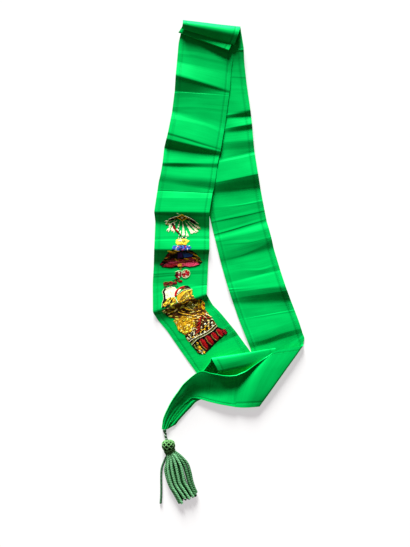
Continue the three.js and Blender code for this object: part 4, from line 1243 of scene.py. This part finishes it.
class SASH_OT_wheat_sheaf(bpy.types.Operator):
    """Stitch the brown and gold sheaf"""

    bl_idname = "sash.wheat_sheaf"
    bl_label = "Wheat sheaf"

    def execute(self, context):
        threads = ("gold", "brown", "dark", "yellow", "olive", "cream", "red", "straw")
        needle = Needle(18, *threads, down=6.0, slant=0.15)
        upper = [(-34, 161), (24, 161), (32, 176), (26, 190), (-22, 190), (-30, 178)]
        needle.fill(upper, 12, "brown", lift=0.1, tone=0.4)
        foot = [(-24, 186), (0, 186), (34, 184), (32, 207), (-26, 224), (-31, 205)]
        needle.fill(foot, -10, "brown", lift=0.1, tone=0.7)
        tints = ("straw", "gold", "dark", "gold", "brown", "yellow", "olive")
        needle.scatter(upper, 64, 28, tints, 0.35, 7.5, 1.9, 34, 0.65)
        corner = [(-36, 162), (-20, 162), (-16, 172), (-30, 176)]
        needle.scatter(corner, 12, 14, ("gold", "straw", "dark"), 0.6, 8, 2.0)
        flame = [(24, 173), (37, 176), (41, 190), (35, 199), (25, 192)]
        tints = ("gold", "gold", "yellow", "red", "brown")
        needle.scatter(flame, 30, 118, tints, 0.5, 8, 2.4, 22, 0.6, "dark")
        lower = [(-28, 189), (-6, 190), (6, 199), (0, 212), (-12, 223), (-28, 225), (-31, 206)]
        needle.fill(lower, 148, "gold", lift=0.2, tone=0.5)
        tints = ("gold", "yellow", "gold", "straw", "gold")
        needle.scatter(lower, 56, 148, tints, 0.45, 7.5, 2.6, 30, 0.9, "brown")
        right = [(6, 192), (30, 190), (32, 210), (4, 212)]
        needle.scatter(right, 26, 20, ("gold", "straw", "dark", "gold", "brown"), 0.45, 6, 1.9, 60, 0.6)
        for start, end in (((-14, 178), (4, 196)), ((-2, 174), (12, 188))):
            needle.leaf(start, end, 2.2, "dark", 1.0, 0.8, 0.5)
            needle.leaf((start[0] + 3, start[1]), (end[0] + 3, end[1]), 2.2, "gold", 1.0, 0.8, 0.7)
        knot = [(8, 173), (18, 169), (23, 181), (13, 186)]
        needle.fill(knot, 60, "olive", lift=0.85, tone=0.5)
        needle.line(knot, "straw", True, lift=1.15, wide=0.4)
        inner = [(10, 174), (17, 171), (21, 180), (14, 184)]
        needle.scatter(inner, 6, 60, ("cream", "gold", "dark"), 1.1, 4.5, 1.2, 40)
        needle.finish("stitched_wheat_sheaf", "wheat_sheaf", "embroidery_gold")
        return {"FINISHED"}


class SASH_OT_check_band(bpy.types.Operator):
    """Stitch the chequered gold band across the panel"""

    bl_idname = "sash.check_band"
    bl_label = "Check band"

    def execute(self, context):
        threads = ("gold", "cream", "dark", "red", "yellow", "brown", "olive", "straw")
        needle = Needle(19, *threads, down=8.8, slant=0.33)
        ground = [(-20, 208), (28, 208), (32, 218), (31, 229), (30, 236), (-27, 236), (-30, 228), (-26, 216)]
        needle.fill(ground, 4, "brown", lift=0.08, tone=0.3)
        left = [(-26, 221), (-10, 214), (-6, 224), (-14, 234), (-26, 235), (-30, 226)]
        needle.scatter(left, 34, 130, ("cream", "straw", "cream", "dark"), 0.35, 6, 2.1, 40, 0.75, "dark")
        middle = [(-16, 212), (18, 208), (20, 224), (-12, 230)]
        needle.scatter(middle, 26, 60, ("cream", "straw", "brown", "straw"), 0.35, 6, 2.2, 30, 0.7)
        for k in range(5):
            start, end = (-13 + k * 4.5, 226 - 4.2 * k), (2 + k * 4.5, 222.5 - 4.2 * k)
            needle.leaf(start, end, 2.4, "red", 1.15, 0.5, 0.6, "dark" if k % 2 else "brown")
        for row in range(4):
            for k in range(11):
                x = -20 + k * 4.3 + row * 1.4 + needle.rng.uniform(-1.3, 1.3)
                y = 222 + row * 3.4 - k * 0.25 + needle.rng.uniform(-0.9, 0.9)
                tints = (("straw", "cream", "gold"), ("dark", "brown", "dark"))[(k + row) % 2]
                color = needle.rng.choice(tints)
                size = needle.rng.uniform(1.3, 2.3)
                patch = [
                    (x - size, y - 1.2), (x + size * 0.8, y - 1.7),
                    (x + size, y + 1.3), (x - size * 0.7, y + 1.6),
                ]
                needle.fill(patch, 20 if k % 2 else 80, color, lift=0.8, tone=0.75)
        specks = [(12, 208), (29, 206), (32, 222), (16, 224)]
        needle.scatter(specks, 28, 50, ("straw", "dark", "cream", "brown", "red"), 0.6, 4.5, 1.9, 70, 0.7)
        border = ((232.2, "cream", 0.5), (233.6, "dark", 0.7), (235.0, "olive", 0.55), (236.3, "cream", 0.45))
        for y, color, wide in border:
            path = [(-28, y + 0.6), (-12, y - 0.3), (8, y + 0.3), (30, y - 0.5)]
            needle.line(path, color, lift=1.0, wide=wide)
        needle.finish("stitched_check_band", "check_band", "embroidery_gold")
        return {"FINISHED"}


class SASH_OT_scallop_row(bpy.types.Operator):
    """Stitch the crimson scallops at the foot of the panel"""

    bl_idname = "sash.scallop_row"
    bl_label = "Scallop row"

    def execute(self, context):
        needle = Needle(20, "crimson", "red", "dark", "gold", "brown", "cream", "olive", down=8.8, slant=0.33)
        ground = [
            (-28, 237), (29, 236.5), (38, 252), (37, 259), (14, 261), (-16, 262), (-24, 256), (-28, 244),
        ]
        needle.fill(ground, 90, "dark", lift=0.08, tone=0.5)
        scallops = (
            (-9, 248.5, 6, 10.8, 76), (3, 249, 6, 11, 76), (14.5, 249, 6, 10.8, 74), (25.5, 249, 5.4, 10, 70),
        )
        for x, y, wide, high, slant in scallops:
            needle.fill(disc(x, y, wide, high, points=14), slant, "crimson", lift=0.35, tone=0.7)
            edge = [(x - wide * 0.8, y - 8), (x - wide, y), (x - wide * 0.5, y + 9)]
            needle.line(edge, "dark", lift=0.9, wide=1.0)
            gleam = [(x - wide * 0.5, y - 8), (x - wide * 0.7, y), (x - wide * 0.2, y + 9)]
            needle.line(gleam, "olive", lift=0.85, wide=0.5)
            needle.leaf((x + 1, y - 9), (x + 1.6, y + 9), 4.2, "red", 0.7, -1.0, 0.55)
        for k in range(4):
            color = "red" if k % 2 else "crimson"
            start, end = (28 + k, 246 + 3.3 * k), (38 - 0.5 * k, 250 + 2.6 * k)
            needle.leaf(start, end, 3.6, color, 0.5, 0.6, 0.65, "dark")
        left = [(-28, 239), (-16, 238), (-15, 250), (-14, 261), (-25, 257)]
        tints = ("cream", "dark", "gold", "olive", "dark", "brown")
        needle.scatter(left, 24, 62, tints, 0.4, 7, 1.8, 24, 0.65)
        foot = [(-25, 254), (-14, 253), (-8, 261), (-20, 262)]
        needle.scatter(foot, 9, 78, ("gold", "dark", "cream"), 0.4, 6, 1.7)
        needle.finish("stitched_scallop_row", "scallop_row", "embroidery_crimson")
        return {"FINISHED"}


# ---- the bound tip, the cord and the tassel


def smooth_path(points, steps):
    """Catmull-Rom curve through points, with even steps between each two."""
    ends = [points[0] * 2 - points[1]] + list(points) + [points[-1] * 2 - points[-2]]
    path = []
    for a, b, c, d in zip(ends, ends[1:], ends[2:], ends[3:]):
        for k in range(steps):
            path.append(between(a, b, c, d, k / steps))
    path.append(points[-1].copy())
    return path


def add_ply(piece, path, offset, wide, pitch, start_angle, sides, finish, shade):
    """One ply of a twisted cord that winds round a path of points."""
    centers, travelled = [], 0.0
    up = Vector((0, 0, 1))
    for k, point in enumerate(path):
        if k:
            travelled += (point - path[k - 1]).length
        way = (path[min(k + 1, len(path) - 1)] - path[max(k - 1, 0)]).normalized()
        side = way.cross(up).normalized()
        rise = side.cross(way)
        turn = start_angle + 2 * math.pi * travelled / pitch
        centers.append(point + side * (offset * math.cos(turn)) + rise * (offset * math.sin(turn)))
    rings = []
    for k, center in enumerate(centers):
        way = (centers[min(k + 1, len(centers) - 1)] - centers[max(k - 1, 0)]).normalized()
        side = way.cross(up).normalized()
        rise = side.cross(way)
        size = wide * (0.72 if k in (0, len(centers) - 1) else 1)
        rings.append(ring_round(center, side, rise, size, size, sides))
    piece.tube(rings, finish, shade)


def add_rope(piece, path, radius, pitch, start_angle, finish, shade, plies=2, sides=8):
    """A cord of plies twisted together, as thick over all as twice its radius."""
    wide = radius * 0.54
    for ply in range(plies):
        add_ply(piece, path, radius - wide, wide, pitch, start_angle + 2 * math.pi * ply / plies, sides,
                finish, shade)


def resample(path, step):
    """The same path with points at even steps."""
    travelled = [0.0]
    for a, b in zip(path, path[1:]):
        travelled.append(travelled[-1] + (b - a).length)
    count = max(2, math.ceil(travelled[-1] / step))
    found = []
    for k in range(count + 1):
        target = travelled[-1] * k / count
        i = min(max(bisect.bisect_right(travelled, target), 1), len(path) - 1)
        span = travelled[i] - travelled[i - 1]
        share = (target - travelled[i - 1]) / span if span else 0
        found.append(path[i - 1].lerp(path[i], share))
    return found


def tassel_ways():
    """For each row of the tassel's table, the way along it and the way to its side."""
    ways = []
    for k in range(len(TASSEL_ROWS)):
        before, after = TASSEL_ROWS[max(0, k - 1)], TASSEL_ROWS[min(len(TASSEL_ROWS) - 1, k + 1)]
        way = Vector((after[1] - before[1], after[2] - before[2], 0)).normalized()
        ways.append((way, Vector((way.y, -way.x, 0))))
    return ways


class SASH_OT_tip_binding(bpy.types.Operator):
    """Wind the dark thread round the gathered tip"""

    bl_idname = "sash.tip_binding"
    bl_label = "Tip binding"

    def execute(self, context):
        start, end = Vector((-113.4, -305.9, 0)), Vector((-113, -310.8, 0))
        height = 3.9
        turn = (end - start).normalized().to_track_quat("Z", "Y").to_euler()
        deselect_all()
        rings = []
        for k in range(BINDING_TURNS):
            t = k / (BINDING_TURNS - 1)
            place = start.lerp(end, 0.1 + 0.8 * t)
            # narrower towards the cord, with a small first turn
            radius = 3.3 - 0.9 * t**2 - (0.5 if k == 0 else 0)
            lean, swing = math.radians(3 * math.sin(k * 2.1)), math.radians(4 * math.cos(k * 1.7))
            bpy.ops.mesh.primitive_torus_add(
                major_radius=(radius - 0.45) * MM, minor_radius=0.5 * MM, major_segments=28, minor_segments=8,
                location=table_place(place.x, place.y, height),
                rotation=(turn.x + lean, turn.y, turn.z + swing),
            )
            rings.append(bpy.context.active_object)
        middle = (start + end) / 2
        bpy.ops.mesh.primitive_uv_sphere_add(
            segments=20, ring_count=12, radius=2.9 * MM, location=table_place(middle.x, middle.y, height),
        )
        rings.append(bpy.context.active_object)
        for item in rings:
            item.select_set(True)
        bpy.context.view_layer.objects.active = rings[0]
        bpy.ops.object.join()
        item = bpy.context.active_object
        item.name = "wound_binding"
        bpy.ops.object.transform_apply(location=True, rotation=True, scale=True)
        shade = item.data.attributes.new("shade", "FLOAT", "FACE")
        shade.data.foreach_set("value", [0.5] * len(item.data.polygons))
        bpy.ops.object.shade_smooth()
        item.data.materials.append(thread_material("binding_thread", (0.02, 0.09, 0.035)))
        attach(item, "root")
        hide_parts("tip_binding")
        return {"FINISHED"}


class SASH_OT_neck_cord(bpy.types.Operator):
    """Twist the dark cord between the binding and the tassel"""

    bl_idname = "sash.neck_cord"
    bl_label = "Neck cord"

    def execute(self, context):
        piece = Piece()
        path = resample(smooth_path([
            table_place(-113, -310.4, 4.2), table_place(-111.5, -313.6, 4.6), table_place(-112.0, -317, 4.9),
            table_place(-110.4, -320.6, 5.4), table_place(-109.6, -324.6, 6.6),
        ], 8), 0.5 * MM)
        for ply in range(2):
            add_ply(piece, path, 1.1 * MM, 1.2 * MM, 6.5 * MM, math.pi * ply, 10, 0, 0.3 + 0.3 * ply)
        add_ply(piece, path, 2.0 * MM, 0.55 * MM, 6.5 * MM, math.pi / 2, 8, 1, 0.8)
        item = piece.build("twisted_neck_cord", [
            thread_material("dark_cord", (0.035, 0.075, 0.04), 0.7),
            thread_material("grey_cord", (0.3, 0.42, 0.32), 0.6),
        ])
        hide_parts("neck_cord")
        return {"FINISHED"}


def skirt_path(ways, spreads, radius, rise, longer):
    """A strand of the skirt, by its places across it at the waist, hips, knees and ends."""
    stops = (WAIST_RING, WAIST_RING + 3, WAIST_RING + 5, len(TASSEL_ROWS) - 1)
    points = []
    for r in range(WAIST_RING - 1, len(TASSEL_ROWS)):
        _, x, y, wide, high, middle = TASSEL_ROWS[r]
        spread = float(np.interp(r, stops, spreads))
        side = ways[r][1] * (spread * max(0, wide - radius))
        lift = max(0, high - radius)
        arch = math.sqrt(max(0, 1 - min(1, abs(spread)) ** 2))
        height = max(radius + 0.05, middle + lift * rise * (0.45 + 0.55 * arch))
        points.append(table_place(x + side.x, y + side.y, height))
    way = ways[-1][0]
    points[-1] = points[-1] + Vector((way.x, way.y, 0)) * (longer * MM)
    return resample(smooth_path(points, 10), 0.9 * MM)


def add_skirt(piece, ways):
    """The skirt's strands: plied cords in front and two layers of ropes behind them, the ropes in the
    dark copy of the thread as painted shade between the strands.
    """
    rng = random.Random(5)
    for spreads, radius, finish, longer in FRONT_STRANDS:
        path = skirt_path(ways, spreads, radius, 0.95 if finish == PALE else 0.45, longer)
        start = rng.uniform(0, 6)
        # painted highlight and shade: the four plies of each strand take turns bright and dark, so the twist
        # reads as a row of glints
        for ply in range(4):
            tone = (1.0, 0.05)[ply % 2] if finish == PALE else (0.4, 0.9)[ply % 2]
            tint = SHADED if finish == SHADED and ply % 2 else PALE
            turn = start + math.pi / 2 * ply
            add_ply(piece, path, radius * 0.58 * MM, radius * 0.42 * MM, 7.0 * MM, turn, 8, tint, tone)
    for rise, count, longer in ((-0.05, 9, 0.0), (-0.75, 8, -2.0)):
        for k in range(count):
            spread = 1 - (2 * k + 1) / count + rng.uniform(-0.05, 0.05)
            places = (spread * 0.95, spread * 1.1 + 0.06, spread * 1.04, spread * 0.95 - 0.08)
            path = skirt_path(ways, places, 2.4, rise, longer + rng.uniform(-2.5, 2.5))
            add_rope(piece, path, 2.4 * MM, 7.6 * MM, rng.uniform(0, 6), SHADED, rng.uniform(0.2, 0.8))


def add_loose_strand(piece):
    """The strand that has slipped out of the waist and lies on the table beside the skirt."""
    path = resample(smooth_path([table_place(*place) for place in LOOSE_STRAND], 10), 0.9 * MM)
    for ply in range(3):
        turn = 0.4 + 2 * math.pi / 3 * ply
        add_ply(piece, path, 1.15 * MM, 1.1 * MM, 7 * MM, turn, 8, LOOSE, 0.2 + 0.3 * ply)


def between_rings(i, share):
    """The middle, half width, half height and middle height between two rows of the tassel's table."""
    near, far = TASSEL_ROWS[i], TASSEL_ROWS[i + 1]
    return (near[n] + (far[n] - near[n]) * share for n in range(1, 6))


def add_netting(piece, ways):
    """The head's net, of ropes that wind round it both ways."""
    steps = 16
    for way in (1, -1):
        for k in range(NET_ROPES):
            turn = 2 * math.pi * k / NET_ROPES + (0.2 if way > 0 else 0)
            points = []
            for t in range(steps + 1):
                r = t / steps * WAIST_RING
                i = min(int(r), WAIST_RING - 1)
                x, y, wide, high, middle = between_rings(i, r - i)
                around = turn + way * t / steps * NET_TURN
                side = ways[i][1] * (math.cos(around) * (wide - 1.0))
                height = max(1.4, middle + math.sin(around) * (high - 1.0))
                points.append(table_place(x + side.x, y + side.y, height))
            path = resample(smooth_path(points, 3), 0.7 * MM)
            # painted shade: each rope's half towards the waist, where the head turns away from the light,
            # gets a darker tone than its upper half
            half = len(path) * 9 // 20
            for part, tone in ((path[:half + 1], 0.8), (path[half:], 0.4)):
                add_rope(piece, part, 1.35 * MM, 3.6 * MM, k, HEAD, tone - 0.2 * (k % 2), sides=6)


def add_waist_cords(piece, ways):
    """Three cords tied round the waist."""
    side = ways[WAIST_RING][1]
    for k in range(3):
        x, y, wide, high, middle = between_rings(WAIST_RING - 1, 0.15 + 0.45 * k)
        loop = []
        for t in range(24):
            turn = t / 24 * 2 * math.pi
            reach = math.cos(turn) * (wide - 0.6)
            height = max(1.3, middle + math.sin(turn) * (high - 0.4))
            loop.append(table_place(x + side.x * reach, y + side.y * reach, height))
        path = resample(smooth_path(loop + loop[:1], 3), 0.8 * MM)
        add_rope(piece, path, 1.2 * MM, 3.4 * MM, k, HEAD, 0.1, sides=6)


def add_core(piece, ways):
    """The stuffed core under the head's netting, in the darkest tone of the dark thread copy, as painted
    shade in the net's gaps.
    """
    rings = []
    for i in range(WAIST_RING + 3):
        _, x, y, wide, high, middle = TASSEL_ROWS[i]
        wide, high = max(1, wide - 2.2), max(1, high - 2.2)
        center = table_place(x, y, middle)
        rings.append(ring_round(center, ways[i][1], Vector((0, 0, 1)), wide * MM, high * MM, 20))
    piece.tube(rings, SHADED, 0.1)


class SASH_OT_tassel(bpy.types.Operator):
    """Make the tassel's netted head, its waist and its twisted strands"""

    bl_idname = "sash.tassel"
    bl_label = "Tassel"

    def execute(self, context):
        piece, ways = Piece(), tassel_ways()
        add_skirt(piece, ways)
        add_loose_strand(piece)
        add_netting(piece, ways)
        add_waist_cords(piece, ways)
        add_core(piece, ways)
        item = piece.build("corded_tassel", [thread_material(*threads) for threads in TASSEL_THREADS])
        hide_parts("tassel")
        return {"FINISHED"}


class SASH_OT_stage(bpy.types.Operator):
    """Set the pale floor, the soft lights and the camera straight above"""

    bl_idname = "sash.stage"
    bl_label = "Stage"

    def execute(self, context):
        stage = context.scene.sash_stage
        deselect_all()
        bpy.ops.mesh.primitive_plane_add(size=12, location=(0, 0, 0))
        floor = context.active_object
        floor.name = "floor"
        table = Finish("pale_table", {
            "Base Color": tuple(stage.floor_color) + (1,), "Roughness": 0.9, "Specular IOR Level": 0.1,
            "Emission Color": FLOOR_GLOW, "Emission Strength": FLOOR_GLOW_STRENGTH,
        })
        floor.data.materials.append(table.material)

        world = bpy.data.worlds.new("soft_sky")
        context.scene.world = world
        world.use_nodes = True
        sky = world.node_tree.nodes["Background"]
        sky.inputs["Color"].default_value = SKY_COLOR
        sky.inputs["Strength"].default_value = stage.sky_power

        key = bpy.data.lights.new("key", "SUN")
        key.energy = stage.key_power
        key.angle = KEY_SPREAD
        key_lamp = bpy.data.objects.new("key", key)
        context.scene.collection.objects.link(key_lamp)
        key_lamp.rotation_euler = Vector(KEY_DIRECTION).to_track_quat("Z", "Y").to_euler()

        camera = bpy.data.cameras.new("above")
        camera.sensor_width = 36
        camera.lens = camera.sensor_width * stage.camera_height / stage.view_length
        camera.clip_end = 20
        eye = bpy.data.objects.new("above", camera)
        context.scene.collection.objects.link(eye)
        eye.location = table_place(*VIEW_MIDDLE, stage.camera_height / MM)
        context.scene.camera = eye
        context.scene.view_settings.view_transform = "Standard"
        context.scene.view_settings.look = "Medium High Contrast"
        return {"FINISHED"}


class SASH_PT_sidebar(bpy.types.Panel):
    """Sizes, colours and steps of the sash."""

    bl_label = "Regalia sash"
    bl_idname = "SASH_PT_sidebar"
    bl_space_type = "VIEW_3D"
    bl_region_type = "UI"
    bl_category = "Sash"

    def draw(self, context):
        for settings in (context.scene.sash_cloth, context.scene.sash_stage):
            for name in settings.__annotations__:
                self.layout.prop(settings, name)
        for step in STEPS:
            self.layout.operator(step.bl_idname)


STEPS = (
    SASH_OT_stage, SASH_OT_ribbon, SASH_OT_hem_stitches, SASH_OT_ray_fan, SASH_OT_flower_bud,
    SASH_OT_blue_collar, SASH_OT_palm_dome, SASH_OT_rosette, SASH_OT_scroll, SASH_OT_gold_leaves,
    SASH_OT_wheat_sheaf, SASH_OT_check_band, SASH_OT_scallop_row, SASH_OT_tip_binding,
    SASH_OT_neck_cord, SASH_OT_tassel,
)
CLASSES = (SashClothSettings, SashStageSettings, *STEPS, SASH_PT_sidebar)


def register():
    for entry in CLASSES:
        bpy.utils.register_class(entry)
    bpy.types.Scene.sash_cloth = bpy.props.PointerProperty(type=SashClothSettings)
    bpy.types.Scene.sash_stage = bpy.props.PointerProperty(type=SashStageSettings)


def unregister():
    del bpy.types.Scene.sash_stage
    del bpy.types.Scene.sash_cloth
    for entry in reversed(CLASSES):
        bpy.utils.unregister_class(entry)


def main():
    register()
    bpy.ops.sash.stage()
    bpy.ops.sash.ribbon()
    bpy.ops.sash.hem_stitches()
    bpy.ops.sash.ray_fan()
    bpy.ops.sash.flower_bud()
    bpy.ops.sash.blue_collar()
    bpy.ops.sash.palm_dome()
    bpy.ops.sash.rosette()
    bpy.ops.sash.scroll()
    bpy.ops.sash.gold_leaves()
    bpy.ops.sash.wheat_sheaf()
    bpy.ops.sash.check_band()
    bpy.ops.sash.scallop_row()
    bpy.ops.sash.tip_binding()
    bpy.ops.sash.neck_cord()
    bpy.ops.sash.tassel()


if __name__ == "__main__":
    main()
